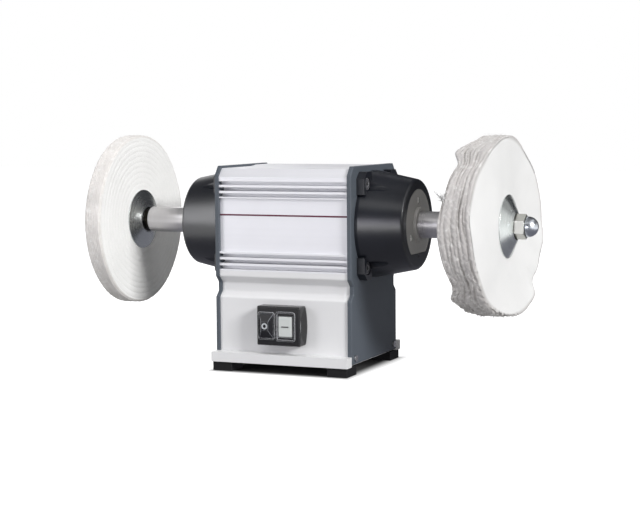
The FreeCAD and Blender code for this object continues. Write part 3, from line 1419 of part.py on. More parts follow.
def terminal_start():
    """Left end of the terminal block, beside the right rail of the base."""
    return f"({WELL_X} - terminal_end_room - terminal_length)"


def capacitor():
    """Run capacitor lying on the bottom cover, held by a strap."""
    reach = "(capacitor_radius + strap_thickness + strap_foot)"
    left = f"(capacitor_end_room - {WELL_X})"
    y = f"({WELL_Y} - capacitor_back_room - {reach})"
    z = f"({COVER_TOP} + capacitor_rise + capacitor_radius)"
    length = f"({terminal_start()} - terminal_side_room - {left})"
    keep(rod("capacitor_can", (left, y, z), "x", "capacitor_radius", length), "run_capacitor")
    start = f"({left} + {length} / 2 - strap_width / 2)"
    hoop = rod("strap_hoop", (start, y, z), "x", "capacitor_radius + capacitor_gap + strap_thickness",
               "strap_width")
    foot = block("strap_base", (start, f"{y} - {reach}", COVER_TOP), ("strap_width", f"2 * {reach}",
                                                                     "strap_thickness"))
    post = block("strap_post", (start, f"{y} - capacitor_radius / 2", COVER_TOP),
                 ("strap_width", "capacitor_radius", "capacitor_rise + strap_thickness"))
    bore = rod("strap_bore", (f"{start} - overrun", y, z), "x", "capacitor_radius + capacitor_gap",
               "strap_width + 2 * overrun")
    keep(minus("strap", join("strap_solid", hoop, foot, post), bore), "capacitor_strap")


def terminal_block():
    """Terminal block with a row of screw wells."""
    y = f"({WELL_Y} - terminal_back_room - terminal_width)"
    z = f"{COVER_TOP} + terminal_height - terminal_hole_depth"
    blank = block("terminal_blank", (terminal_start(), y, COVER_TOP),
                  ("terminal_length", "terminal_width", "terminal_height"))
    wells = []
    for number in range(value("terminal_ways")):
        x = f"{terminal_start()} + terminal_length * (2 * {number} + 1) / (2 * terminal_ways)"
        wells.append(rod(f"terminal_well_{number}", (x, f"{y} + terminal_width / 2", z), "z", "terminal_hole",
                         "terminal_hole_depth + overrun"))
    return keep(minus("terminals", blank, *wells), "terminal_block")


def earth_screw():
    seat = (f"({PLATE_IN} - base_rail / 2)", "earth_y", "(foot_height + rail_height)")
    return keep(screw("earth", seat, "z", 1, "earth_radius", "earth_length", "earth_head",
                      "earth_head_height", "earth_socket"), "earth_screw")


def gland_turned(name, outline):
    """A turned gland piece, pointing out of the back wall."""
    body = turned(name + "_turned", outline)
    body.Placement = FreeCAD.Placement(FreeCAD.Vector(), FreeCAD.Rotation(FreeCAD.Vector(0, 0, 1), 90))
    return move(body, ("gland_x", BASE_Y, GLAND_Z))


def gland():
    """Cable gland in the back wall: body, lock nut inside, rubber seal and outer nut."""
    thread = gland_turned("gland_thread", [
        ("-1 * gland_inside", "gland_bore"),
        ("-1 * gland_inside", "gland_thread"),
        ("0", "gland_thread"),
        ("gland_flange", "gland_thread"),
        ("gland_flange", "gland_neck"),
        ("gland_flange + gland_neck_length", "gland_neck"),
        ("gland_flange + gland_neck_length", "gland_bore"),
    ])
    bore_start = f"{BASE_Y} - gland_inside - overrun"
    flange = minus("gland_flange", hexagon("gland_hex", ("gland_x", BASE_Y, GLAND_Z), "y", "gland_flats",
                                           "gland_flange"),
                   rod("gland_hex_bore", ("gland_x", bore_start, GLAND_Z), "y", "gland_bore",
                       "gland_inside + gland_flange + 2 * overrun"))
    keep(join("gland_body", thread, flange), "cable_gland")
    lock_start = ("gland_x", f"{BASE_Y} - base_wall - gland_lock_length", GLAND_Z)
    lock = minus("gland_lock", hexagon("gland_lock_hex", lock_start, "y", "gland_flats", "gland_lock_length"),
                 rod("gland_lock_bore", ("gland_x", bore_start, GLAND_Z), "y", "gland_thread + thread_gap",
                     "gland_inside + overrun"))
    keep(lock, "gland_lock_nut")
    seal_start = "gland_flange + gland_neck_length - gland_seal_length"
    keep(gland_turned("gland_insert", [
        (seal_start, "gland_seal_hole"),
        (seal_start, "gland_bore - thread_gap"),
        (f"{seal_start} + gland_seal_length", "gland_bore - thread_gap"),
        (f"{seal_start} + gland_seal_length", "gland_seal_hole"),
    ]), "gland_seal")
    keep(gland_turned("gland_outer", [
        ("gland_flange", "gland_neck + thread_gap"),
        ("gland_flange", "gland_nut_radius"),
        ("gland_flange + gland_nut_length - gland_nut_taper", "gland_nut_radius"),
        ("gland_flange + gland_nut_length", "gland_nut_nose"),
        ("gland_flange + gland_nut_length", "gland_bore"),
        ("gland_flange + gland_neck_length + thread_gap", "gland_bore"),
        ("gland_flange + gland_neck_length + thread_gap", "gland_neck + thread_gap"),
    ]), "gland_nut")


front_shell()
rear_shell()
panel_stripe()
side_plate("left_side_plate", -1)
side_plate("right_side_plate", 1)
base_housing()
bottom_cover()
rubber_feet()
foot_screws()
plate_screws()
for end_name, is_turned in sides():
    buff_hub = "sewn_hub" if is_turned else "loose_hub"
    spring_space = "spring_height" if is_turned else "0"
    end_bell(f"{end_name}_end_bell", is_turned)
    bearing_cover(f"{end_name}_bearing_cover", is_turned, spring_space)
    bearing(end_name, is_turned)
    winding_head(f"{end_name}_winding_head", is_turned)
    spindle_sleeve(f"{end_name}_spindle_sleeve", is_turned)
    inner_flange(f"{end_name}_inner_flange", is_turned)
    outer_flange(f"{end_name}_outer_flange", is_turned, buff_hub)
    hex_nut(f"{end_name}_hex_nut", is_turned, buff_hub)
    cap_nut(f"{end_name}_cap_nut", is_turned, buff_hub)
bell_screws()
cover_screws()
seal_rings()
wave_spring()
stator_core()
rotor()
spindle_shaft()
sewn_buff()
loose_buff()
switch_housing()
stop_button()
start_button()
switch_body()
switch_screws()
capacitor()
terminal_block()
earth_screw()
gland()
doc.recompute()

failed = [item.Name for item in doc.Objects if "Invalid" in item.State or "Error" in item.State]
if failed:
    raise SystemExit("objects failed: " + ", ".join(failed))
for node in nodes:
    if node.Shape.isNull() or not node.Shape.isValid():
        raise SystemExit("bad shape: " + node.Label)
os.makedirs("parts", exist_ok=True)
for node in nodes:
    node.Shape.exportStep(os.path.join("parts", node.Label + ".step"))
    box = node.Shape.BoundBox
    corners = (box.XMin, box.XMax, box.YMin, box.YMax, box.ZMin, box.ZMax)
    print("%-26s solids %2d  volume %9.0f  box %s" % (
        node.Label, len(node.Shape.Solids), node.Shape.Volume, " ".join("%.1f" % side for side in corners)))
print("wrote", len(nodes), "sub-parts")
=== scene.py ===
# %% [markdown]
# # A bench polishing machine in Blender
# The machine has a finned motor housing on a white base, two black end bells, a long spindle, a sewn
# cloth buff on the left and a loose cloth buff on the right. The hard pieces come from the imported CAD
# model and only get their finishes here. The soft pieces are made anew, because cloth in CAD is only
# a plain stand-in. The first cell loads the model.

# %% Load the imported model
import json
import math

import bpy
import numpy as np
from mathutils import Matrix, Vector


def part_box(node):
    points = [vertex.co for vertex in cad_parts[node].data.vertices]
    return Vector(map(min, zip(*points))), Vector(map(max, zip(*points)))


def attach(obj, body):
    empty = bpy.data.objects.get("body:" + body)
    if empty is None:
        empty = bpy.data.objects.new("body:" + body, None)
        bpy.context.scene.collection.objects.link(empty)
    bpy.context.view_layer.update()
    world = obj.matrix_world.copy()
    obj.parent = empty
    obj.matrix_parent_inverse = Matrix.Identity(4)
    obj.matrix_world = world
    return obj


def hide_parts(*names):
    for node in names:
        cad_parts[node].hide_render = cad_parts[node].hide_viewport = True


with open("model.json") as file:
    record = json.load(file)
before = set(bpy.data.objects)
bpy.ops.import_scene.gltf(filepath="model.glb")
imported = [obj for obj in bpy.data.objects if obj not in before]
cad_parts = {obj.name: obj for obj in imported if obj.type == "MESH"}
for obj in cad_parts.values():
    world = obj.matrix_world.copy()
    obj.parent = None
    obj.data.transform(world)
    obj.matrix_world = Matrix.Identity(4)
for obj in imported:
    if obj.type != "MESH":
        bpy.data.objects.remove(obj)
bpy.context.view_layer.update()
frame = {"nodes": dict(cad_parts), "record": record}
MM = 0.001
print("CAD pieces:", len(frame["nodes"]))

# %% [markdown]
# ## The spindle line
# Everything that turns does so about one line along X. Its height is read from the shaft's own box, so
# that the cloth and the lathe marks are centred on it. The buffs are clamped between pairs of flanges,
# and the flange boxes say where the cloth may be.

# %% Measure the spindle line and the clamps
shaft_low, shaft_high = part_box("spindle_shaft")
SHAFT_HEIGHT = (shaft_low.z + shaft_high.z) / 2
SEWN_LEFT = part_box("left_outer_flange")[1].x
SEWN_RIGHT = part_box("left_inner_flange")[0].x
LOOSE_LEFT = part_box("right_inner_flange")[1].x
LOOSE_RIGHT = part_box("right_outer_flange")[0].x
FLANGE_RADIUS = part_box("right_outer_flange")[1].z - SHAFT_HEIGHT
print("sewn buff", round(SEWN_RIGHT - SEWN_LEFT, 4), "loose buff", round(LOOSE_RIGHT - LOOSE_LEFT, 4))

# %% [markdown]
# ## Camera
# The photograph was taken from the front right, a little above the spindle, with a long lens. Yaw,
# pitch and roll are turned into three directions at right angles, and these are the columns of the
# camera's matrix. A long lens far away keeps the two buffs nearly the same size.

# %% Place the camera
CAMERA_PLACE = Vector((730.33, -1656.99, 283.63)) * MM
YAW, PITCH, ROLL = (math.radians(angle) for angle in (23.32, -5.04, -0.45))

forward = Vector((-math.sin(YAW) * math.cos(PITCH), math.cos(YAW) * math.cos(PITCH), math.sin(PITCH)))
level = Vector((math.cos(YAW), math.sin(YAW), 0))
upward = level.cross(forward)
camera_right = level * math.cos(ROLL) + upward * math.sin(ROLL)
camera_up = upward * math.cos(ROLL) - level * math.sin(ROLL)

lens = bpy.data.cameras.new("studio_lens")
lens.sensor_fit = "HORIZONTAL"
lens.sensor_width = 36
lens.lens = 89.54
lens.clip_start = 0.05
camera = bpy.data.objects.new("studio_camera", lens)
camera.matrix_world = Matrix.Translation(CAMERA_PLACE) @ Matrix(
    (camera_right, camera_up, -forward)).transposed().to_4x4()
bpy.context.scene.collection.objects.link(camera)
bpy.context.scene.camera = camera
bpy.context.scene.view_settings.view_transform = "Standard"
print("camera looks along", tuple(round(value, 3) for value in forward))

# %% [markdown]
# ## Nodes by short calls
# Materials are small programs made of nodes. One helper adds a node, sets it up and fills its inputs
# with numbers or with other nodes' outputs, so that each material below reads as a list of steps.
# Effects that several materials share are groups, and a second helper makes an empty group with named
# inputs and outputs.

# %% Helpers for node trees
def put(tree, kind, inputs=None, **settings):
    """Adds a node, sets its settings, and fills its inputs with values or with other nodes' outputs."""
    made = tree.nodes.new(kind)
    for name, value in settings.items():
        setattr(made, name, value)
    for name, value in (inputs or {}).items():
        socket = made.inputs[name]
        if isinstance(value, bpy.types.NodeSocket):
            tree.links.new(value, socket)
        else:
            socket.default_value = value
    return made


def calculate(tree, operation, *values):
    """One Math node: the operation on up to three numbers or outputs."""
    return put(tree, "ShaderNodeMath", dict(enumerate(values)), operation=operation).outputs[0]


def new_effect(name, inputs, outputs):
    """An empty shader group. Inputs are (name, socket kind, start value), outputs (name, socket kind)."""
    tree = bpy.data.node_groups.new(name, "ShaderNodeTree")
    for label, kind, start in inputs:
        tree.interface.new_socket(label, in_out="INPUT", socket_type=kind).default_value = start
    for label, kind in outputs:
        tree.interface.new_socket(label, in_out="OUTPUT", socket_type=kind)
    return tree, tree.nodes.new("NodeGroupInput").outputs, tree.nodes.new("NodeGroupOutput").inputs


def use_effect(tree, effect, **values):
    """Places a group in a material. An underscore in a keyword stands for a space in the input's name."""
    named = {name.replace("_", " "): value for name, value in values.items()}
    return put(tree, "ShaderNodeGroup", named, node_tree=effect).outputs


def object_place(tree):
    """The place of a point in the object's own space."""
    return put(tree, "ShaderNodeTexCoord").outputs["Object"]


def noise(tree, place, scale, detail):
    """The value of a noise texture, 0 to 1, with scale in bumps per metre."""
    made = put(tree, "ShaderNodeTexNoise", {"Vector": place, "Scale": scale, "Detail": detail})
    return made.outputs["Fac"]


def mix_colours(tree, share, first, second):
    """The first colour mixed towards the second, a plain colour, by a share from 0 to 1."""
    return put(tree, "ShaderNodeMix", {0: share, 6: first, 7: (*second, 1)}, data_type="RGBA").outputs[2]


def change_value(tree, colour, factor):
    """A colour made lighter or darker by a factor."""
    return put(tree, "ShaderNodeHueSaturation", {"Color": colour, "Value": factor}).outputs[0]


def empty_material(name):
    """A new material and its node tree, with no node in it yet."""
    material = bpy.data.materials.new(name)
    material.use_nodes = True
    material.node_tree.nodes.clear()
    return material, material.node_tree


NUMBER, COLOUR, DIRECTION = "NodeSocketFloat", "NodeSocketColor", "NodeSocketVector"
print("helpers ready")

# %% [markdown]
# ## Effect: powder coat grain
# Powder coat, moulded plastic and rubber all have a fine skin that is never quite even. A fine noise
# gives the grain that catches the light, and a broad noise lightens and darkens the colour a little and
# makes some places shinier than others. One group serves all of them, with its own sizes for each.

# %% Make the grain effect
def grain_effect():
    """The height is a fine noise. A broad noise around 0 swings the colour's value and the roughness."""
    tree, given, result = new_effect(
        "skin_grain",
        [("Colour", COLOUR, (1, 1, 1, 1)), ("Grain Scale", NUMBER, 900.0), ("Mottle", NUMBER, 0.08),
         ("Roughness", NUMBER, 0.5), ("Roughness Swing", NUMBER, 0.1)],
        [("Colour", COLOUR), ("Roughness", NUMBER), ("Height", NUMBER)])
    place = object_place(tree)
    fine = noise(tree, place, given["Grain Scale"], 3.0)
    swing = calculate(tree, "SUBTRACT", noise(tree, place, 22.0, 4.0), 0.5)
    light = calculate(tree, "MULTIPLY_ADD", swing, given["Mottle"], 1.0)
    rough = calculate(tree, "MULTIPLY_ADD", swing, given["Roughness Swing"], given["Roughness"])
    tree.links.new(change_value(tree, given["Colour"], light), result["Colour"])
    tree.links.new(rough, result["Roughness"])
    tree.links.new(fine, result["Height"])
    return tree


SKIN_GRAIN = grain_effect()
print("effect", SKIN_GRAIN.name)

# %% [markdown]
# ## Effect: soft edges
# A CAD edge is infinitely sharp, and a real one never is: it catches a thin line of light, and paint
# wears or thins there. The Bevel node works out a rounded normal near each edge. How far it differs
# from the true normal says how near the edge is, and that mask mixes in a lighter tint, a painted
# highlight that also stands for the worn paint.

# %% Make the edge effect
def edge_effect():
    """The mask is strength * (1 - the dot product of the rounded and the true normal), from 0 to 1."""
    tree, given, result = new_effect(
        "soft_edge",
        [("Width", NUMBER, 0.0005), ("Strength", NUMBER, 1.5)],
        [("Edge", NUMBER), ("Normal", DIRECTION)])
    rounded = put(tree, "ShaderNodeBevel", {"Radius": given["Width"]}, samples=4).outputs[0]
    true = put(tree, "ShaderNodeNewGeometry").outputs["Normal"]
    same = put(tree, "ShaderNodeVectorMath", {0: rounded, 1: true}, operation="DOT_PRODUCT")
    bend = calculate(tree, "SUBTRACT", 1.0, same.outputs["Value"])
    mask = put(tree, "ShaderNodeMath", {0: bend, 1: given["Strength"]}, operation="MULTIPLY",
               use_clamp=True)
    tree.links.new(mask.outputs[0], result["Edge"])
    tree.links.new(rounded, result["Normal"])
    return tree


SOFT_EDGE = edge_effect()
print("effect", SOFT_EDGE.name)

# %% [markdown]
# ## Effect: lathe marks
# Sleeves, flanges and nuts are turned on a lathe, so every mark on them is a ring about the spindle. A
# noise that only knows the distance along the spindle and the distance from it draws exactly such
# rings, on the round sides and on the flat faces alike. The radius comes out as well, for the flanges,
# whose necks get a painted shade: a dark ring that stands for the shade in the gap at the hub.

# %% Make the lathe mark effect
def turned_effect():
    """Two noises of x and of the radius sqrt(y^2 + z^2) from the spindle: fine rings and broad bands."""
    tree, given, result = new_effect(
        "lathe_marks",
        [("Line Scale", NUMBER, 1500.0)],
        [("Height", NUMBER), ("Streak", NUMBER), ("Radius", NUMBER)])
    from_shaft = put(tree, "ShaderNodeMapping", {"Vector": object_place(tree),
                                                 "Location": (0, 0, -SHAFT_HEIGHT)})
    parts = put(tree, "ShaderNodeSeparateXYZ", {0: from_shaft.outputs[0]}).outputs
    up_square = calculate(tree, "MULTIPLY", parts["Z"], parts["Z"])
    radius = calculate(tree, "SQRT", calculate(tree, "MULTIPLY_ADD", parts["Y"], parts["Y"], up_square))
    ring = put(tree, "ShaderNodeCombineXYZ", {"X": parts["X"], "Y": radius}).outputs[0]
    tree.links.new(noise(tree, ring, given["Line Scale"], 2.0), result["Height"])
    tree.links.new(noise(tree, ring, 240.0, 3.0), result["Streak"])
    tree.links.new(radius, result["Radius"])
    return tree


LATHE_MARKS = turned_effect()
print("effect", LATHE_MARKS.name)

# %% [markdown]
# ## Effect: extrusion lines
# The finned shells are aluminium profiles, pressed through a die along X. The die leaves long fine
# lines, so the noise is stretched: it changes slowly along X and quickly across it.

# %% Make the extrusion effect
def drawn_effect():
    """Two noises of stretch * x, y and z: fine lines and broad bands."""
    tree, given, result = new_effect(
        "extrusion_lines",
        [("Line Scale", NUMBER, 700.0), ("Stretch", NUMBER, 0.012)],
        [("Height", NUMBER), ("Streak", NUMBER)])
    parts = put(tree, "ShaderNodeSeparateXYZ", {0: object_place(tree)}).outputs
    slow = calculate(tree, "MULTIPLY", parts["X"], given["Stretch"])
    place = put(tree, "ShaderNodeCombineXYZ", {"X": slow, "Y": parts["Y"], "Z": parts["Z"]}).outputs[0]
    tree.links.new(noise(tree, place, given["Line Scale"], 2.0), result["Height"])
    tree.links.new(noise(tree, place, 160.0, 3.0), result["Streak"])
    return tree


EXTRUSION_LINES = drawn_effect()
print("effect", EXTRUSION_LINES.name)

# %% [markdown]
# ## Effect: cotton weave
# The buffs are cut from plain woven cotton. Two crossed waves make the over and under of the threads,
# and a fine noise makes them fuzzy. The waves run straight across each disc, as they do in real discs
# that were cut from a flat sheet, so they read the object's Y and Z. A coarser noise marks the places
# where lint has gathered.

# %% Make the weave effect
def weave_effect():
    """The height is 0.5 + 0.5 * sin(2 pi y / thread) * sin(2 pi z / thread), plus a fine fuzz. A broad
    noise gives the shade, and the tops of a coarse one give the lint."""
    tree, given, result = new_effect(
        "cotton_weave",
        [("Thread", NUMBER, 0.0009)],
        [("Height", NUMBER), ("Shade", NUMBER), ("Lint", NUMBER)])
    place = object_place(tree)
    parts = put(tree, "ShaderNodeSeparateXYZ", {0: place}).outputs
    turn = calculate(tree, "DIVIDE", 2 * math.pi, given["Thread"])
    across = calculate(tree, "SINE", calculate(tree, "MULTIPLY", parts["Y"], turn))
    along = calculate(tree, "SINE", calculate(tree, "MULTIPLY", parts["Z"], turn))
    cross = calculate(tree, "MULTIPLY_ADD", calculate(tree, "MULTIPLY", across, along), 0.5, 0.5)
    fuzzy = calculate(tree, "MULTIPLY_ADD", noise(tree, place, 1400.0, 3.0), 0.7, cross)
    tufts = noise(tree, place, 190.0, 5.0)
    lint = put(tree, "ShaderNodeMapRange", {"Value": tufts, "From Min": 0.5, "From Max": 0.72},
               interpolation_type="SMOOTHSTEP")
    tree.links.new(fuzzy, result["Height"])
    tree.links.new(noise(tree, place, 35.0, 4.0), result["Shade"])
    tree.links.new(lint.outputs[0], result["Lint"])
    return tree


COTTON_WEAVE = weave_effect()
print("effect", COTTON_WEAVE.name)

# %% [markdown]
# ## Finishes for coats, plastics and rubber
# A painted, moulded or rubber piece is a plain shader with the grain on top. The shader stays in the
# material itself, and only what changes over the surface comes out of the groups. Numbers that are the
# same everywhere, such as how metallic a piece is, are set on the shader.

# %% Coat finish
def start_finish(slot, metallic=0.0, specular=0.5):
    """A material with one shader whose even values are set, and its node tree."""
    material, tree = empty_material(slot)
    shader = put(tree, "ShaderNodeBsdfPrincipled", {"Metallic": metallic, "Specular IOR Level": specular})
    put(tree, "ShaderNodeOutputMaterial", {"Surface": shader.outputs[0]})
    return material, tree, shader


def lay(tree, shader, colour, roughness, height, normal, depth):
    """Feeds the shader: colour, roughness, and a bump of this depth in metres on top of a normal."""
    bump = put(tree, "ShaderNodeBump", {"Height": height, "Normal": normal, "Distance": depth,
                                        "Strength": 1.0})
    for name, value in (("Base Color", colour), ("Roughness", roughness), ("Normal", bump.outputs[0])):
        tree.links.new(value, shader.inputs[name])


def edge_glint_and_wear(tree, colour, width, share, glint_and_wear_tint):
    """The colour tinted near edges as a painted highlight and worn paint, and the softened normal."""
    edges = use_effect(tree, SOFT_EDGE, Width=width, Strength=2.4)
    amount = calculate(tree, "MULTIPLY", edges["Edge"], share)
    return mix_colours(tree, amount, colour, glint_and_wear_tint), edges["Normal"]


def coat_finish(slot, colour, roughness, grain=900.0, depth=0.00002, mottle=0.1, swing=0.12, edge=0.15,
                glint_and_wear_tint=(0.8, 0.8, 0.82), edge_width=0.0006, specular=0.5):
    """Powder coat, plastic, rubber or felt: grain, mottling, and painted highlight and wear on edges."""
    material, tree, shader = start_finish(slot, specular=specular)
    skin = use_effect(tree, SKIN_GRAIN, Colour=(*colour, 1), Grain_Scale=grain, Mottle=mottle,
                      Roughness=roughness, Roughness_Swing=swing)
    lit, normal = edge_glint_and_wear(tree, skin["Colour"], edge_width, edge, glint_and_wear_tint)
    lay(tree, shader, lit, skin["Roughness"], skin["Height"], normal, depth)
    return material


# A painted shade for the flanges' necks: its dark colour, and how softly it fades in at the radius.
NECK_SHADE_FADE = 0.6 * MM
NECK_SHADE_COLOUR = (0.02, 0.018, 0.015)


def metal_finish(slot, colour, roughness, line_scale, marks=LATHE_MARKS, depth=0.000004, streak=0.16,
                 swing=0.14, edge=0.3, glint_and_wear_tint=(0.9, 0.9, 0.92), edge_width=0.0004, metallic=1.0,
                 neck_shade_radius=None):
    """Bare metal with lathe marks or extrusion lines, and brighter edges, a painted highlight. A turned
    piece can have a painted shade at its neck: dark inside a radius, for the shade in the hub's gap."""
    material, tree, shader = start_finish(slot, metallic)
    lines = use_effect(tree, marks, Line_Scale=line_scale)
    skin = use_effect(tree, SKIN_GRAIN, Colour=(*colour, 1), Grain_Scale=500.0, Mottle=0.1,
                      Roughness=roughness, Roughness_Swing=swing)
    band = calculate(tree, "MULTIPLY_ADD", lines["Streak"], streak, 1.0 - streak / 2)
    streaked = change_value(tree, skin["Colour"], band)
    # Painted shade: inside the neck radius the colour goes dark, for the shade in the gap at the hub.
    if neck_shade_radius:
        inside = put(tree, "ShaderNodeMapRange", {
            "Value": lines["Radius"],
            "From Min": neck_shade_radius + NECK_SHADE_FADE, "From Max": neck_shade_radius - NECK_SHADE_FADE}).outputs[0]
        streaked = mix_colours(tree, inside, streaked, NECK_SHADE_COLOUR)
    lit, normal = edge_glint_and_wear(tree, streaked, edge_width, edge, glint_and_wear_tint)
    rough = calculate(tree, "MULTIPLY", skin["Roughness"], band)
    lay(tree, shader, lit, rough, lines["Height"], normal, depth)
    return material


print("finish makers ready")

# %% [markdown]
# ## Finish for the cotton
# Cotton scatters light softly and shows a pale sheen at grazing angles. Two attributes on the cloth
# pieces say where the cut rim is and how deep a point lies between the plies: the rim is a little
# greyer and warmer than the clean faces, and the clefts are darker, a painted shade. The material only
# mixes them in.

# %% Cloth finish
def cloth_finish(slot, face, rim, cleft, lint):
    """Woven cotton. Face, rim, cleft and lint are its colours on the faces, on the cut rim, between the
    plies as a painted shade, and where lint clings to the rim."""
    material, tree, shader = start_finish(slot, specular=0.15)
    shader.inputs["Sheen Weight"].default_value = 0.2
    shader.inputs["Sheen Roughness"].default_value = 0.6
    weave = use_effect(tree, COTTON_WEAVE, Thread=0.9 * MM)
    at_rim = put(tree, "ShaderNodeAttribute", attribute_name="rim").outputs["Fac"]
    deep = put(tree, "ShaderNodeAttribute", attribute_name="cleft").outputs["Fac"]
    # The clefts between the plies are mixed towards a darker colour: a painted shade.
    clinging = calculate(tree, "MULTIPLY", calculate(tree, "MULTIPLY", weave["Lint"], at_rim), 0.75)
    colour = mix_colours(tree, at_rim, (*face, 1), rim)
    for share, second in ((deep, cleft), (clinging, lint)):
        colour = mix_colours(tree, share, colour, second)
    swing = calculate(tree, "MULTIPLY_ADD", at_rim, 0.4, 0.1)
    light = calculate(tree, "MULTIPLY_ADD", calculate(tree, "SUBTRACT", weave["Shade"], 0.5), swing, 1.0)
    rough = calculate(tree, "MULTIPLY_ADD", weave["Shade"], 0.1, 0.85)
    true = put(tree, "ShaderNodeNewGeometry").outputs["Normal"]
    lay(tree, shader, change_value(tree, colour, light), rough, weave["Height"], true, 0.15 * MM)
    return material


print("cloth finish ready")

# %% [markdown]
# ## One finish for each material slot
# The record names a material slot for each piece. Here each slot gets its own values, in three tables
# for the three kinds of finish. Colours are linear, as Blender wants them, lengths are in metres, and
# scales are in bumps per metre. Pale coats are kept below full white, so that they don't burn out.

# %% Make the finishes
COATS = {
    "base_white": dict(colour=(0.70, 0.70, 0.705), roughness=0.42, grain=650, depth=0.000012,
                       mottle=0.05),
    "plate_grey": dict(colour=(0.08, 0.093, 0.11), roughness=0.42, grain=1100, mottle=0.16, edge=0.5,
                       glint_and_wear_tint=(0.3, 0.33, 0.4), specular=0.25),
    "bell_black": dict(colour=(0.0042, 0.0055, 0.0095), roughness=0.3, grain=800, edge=0.03,
                       glint_and_wear_tint=(0.3, 0.31, 0.35), specular=0.85),
    "cover_sheet": dict(colour=(0.02, 0.02, 0.022), roughness=0.55, specular=0.3),
    "foot_rubber": dict(colour=(0.009, 0.009, 0.01), roughness=0.6, grain=1400, depth=0.00006, edge=0.1,
                        specular=0.2),
    # Switch and stop button: the full edge tint is a painted highlight along their edges and facets.
    "switch_black": dict(colour=(0.004, 0.004, 0.0045), roughness=0.26, grain=1500, depth=0.00001,
                         edge=1.0, glint_and_wear_tint=(0.85, 0.86, 0.9), edge_width=0.0009, specular=0.6),
    "stop_black": dict(colour=(0.011, 0.011, 0.013), roughness=0.16, depth=0.000003, edge=1.0,
                       glint_and_wear_tint=(0.8, 0.82, 0.88), edge_width=0.0014),
    "mark_pale": dict(colour=(0.5, 0.52, 0.54), roughness=0.4),
    "start_white": dict(colour=(0.55, 0.575, 0.56), roughness=0.35, depth=0.000005, mottle=0.05),
    "mark_dark": dict(colour=(0.03, 0.03, 0.03), roughness=0.5),
    "stripe_red": dict(colour=(0.1, 0.011, 0.032), roughness=0.45),
    "seal_felt": dict(colour=(0.05, 0.048, 0.044), roughness=0.95, grain=2200, depth=0.0002,
                      specular=0.1),
    "terminal_cream": dict(colour=(0.62, 0.55, 0.38), roughness=0.45),
    "gland_nylon": dict(colour=(0.025, 0.025, 0.027), roughness=0.48, grain=1200),
    "gland_rubber": dict(colour=(0.02, 0.02, 0.02), roughness=0.7),
}
METALS = {
    "shell_aluminium": dict(colour=(0.72, 0.72, 0.75), roughness=0.5, line_scale=700,
                            marks=EXTRUSION_LINES, streak=0.08, metallic=0.4),
    "turned_steel": dict(colour=(0.62, 0.608, 0.612), roughness=0.36, line_scale=1500),
    "flange_zinc": dict(colour=(0.63, 0.66, 0.65), roughness=0.26, line_scale=1800, streak=0.2,
                        neck_shade_radius=0.0142),
    "nut_zinc": dict(colour=(0.54, 0.54, 0.505), roughness=0.36, line_scale=1300),
    "cap_chrome": dict(colour=(0.54, 0.57, 0.61), roughness=0.28, line_scale=1600, streak=0.05,
                       swing=0.04),
    "cover_grey": dict(colour=(0.42, 0.41, 0.39), roughness=0.5, line_scale=900, edge=0.12,
                       metallic=0.3),
    "screw_zinc": dict(colour=(0.62, 0.62, 0.62), roughness=0.25, line_scale=900),
    # The black and steel screws get a painted highlight ring from the full edge tint.
    "screw_black": dict(colour=(0.1, 0.1, 0.11), roughness=0.3, line_scale=900, edge=1.0,
                        edge_width=0.0007, metallic=0.3),
    "screw_steel": dict(colour=(0.85, 0.84, 0.81), roughness=0.3, line_scale=900, edge=1.0,
                        edge_width=0.0006, metallic=0.2),
    "bearing_steel": dict(colour=(0.6, 0.61, 0.63), roughness=0.15, line_scale=2000),
    "cage_brass": dict(colour=(0.6, 0.42, 0.16), roughness=0.3, line_scale=1500),
    "lamination_iron": dict(colour=(0.2, 0.2, 0.21), roughness=0.5, line_scale=2600),
    "rotor_aluminium": dict(colour=(0.6, 0.61, 0.62), roughness=0.45, line_scale=700),
    "winding_copper": dict(colour=(0.5, 0.17, 0.07), roughness=0.35, line_scale=1100),
    "capacitor_can": dict(colour=(0.66, 0.66, 0.68), roughness=0.3, line_scale=900,
                          marks=EXTRUSION_LINES),
    "strap_steel": dict(colour=(0.56, 0.56, 0.57), roughness=0.35, line_scale=900,
                        marks=EXTRUSION_LINES),
}
# Each cleft colour is a painted shade between the plies.
CLOTHS = {
    "sewn_cloth": dict(face=(0.91, 0.905, 0.89), rim=(0.72, 0.695, 0.67), cleft=(0.55, 0.52, 0.49),
                       lint=(0.80, 0.79, 0.775)),
    "loose_cloth": dict(face=(0.80, 0.798, 0.792), rim=(0.51, 0.49, 0.48), cleft=(0.40, 0.38, 0.36),
                        lint=(0.68, 0.67, 0.655)),
}
FINISHES = {slot: maker(slot, **values)
            for maker, table in ((coat_finish, COATS), (metal_finish, METALS), (cloth_finish, CLOTHS))
            for slot, values in table.items()}
for subpart in frame["record"]["subparts"]:
    piece = frame["nodes"][subpart["node"]]
    piece.data.materials.clear()
    piece.data.materials.append(FINISHES[subpart["material_slot"]])

# %% [markdown]
# ## From a grid of points to a closed mesh
# A buff is a ring: its cut through one side is a closed outline, and that outline is carried once round
# the spindle. So its surface is a grid that closes on itself in both directions, with no pole and no
# seam. One function turns such a grid into a mesh, with whole arrays only.

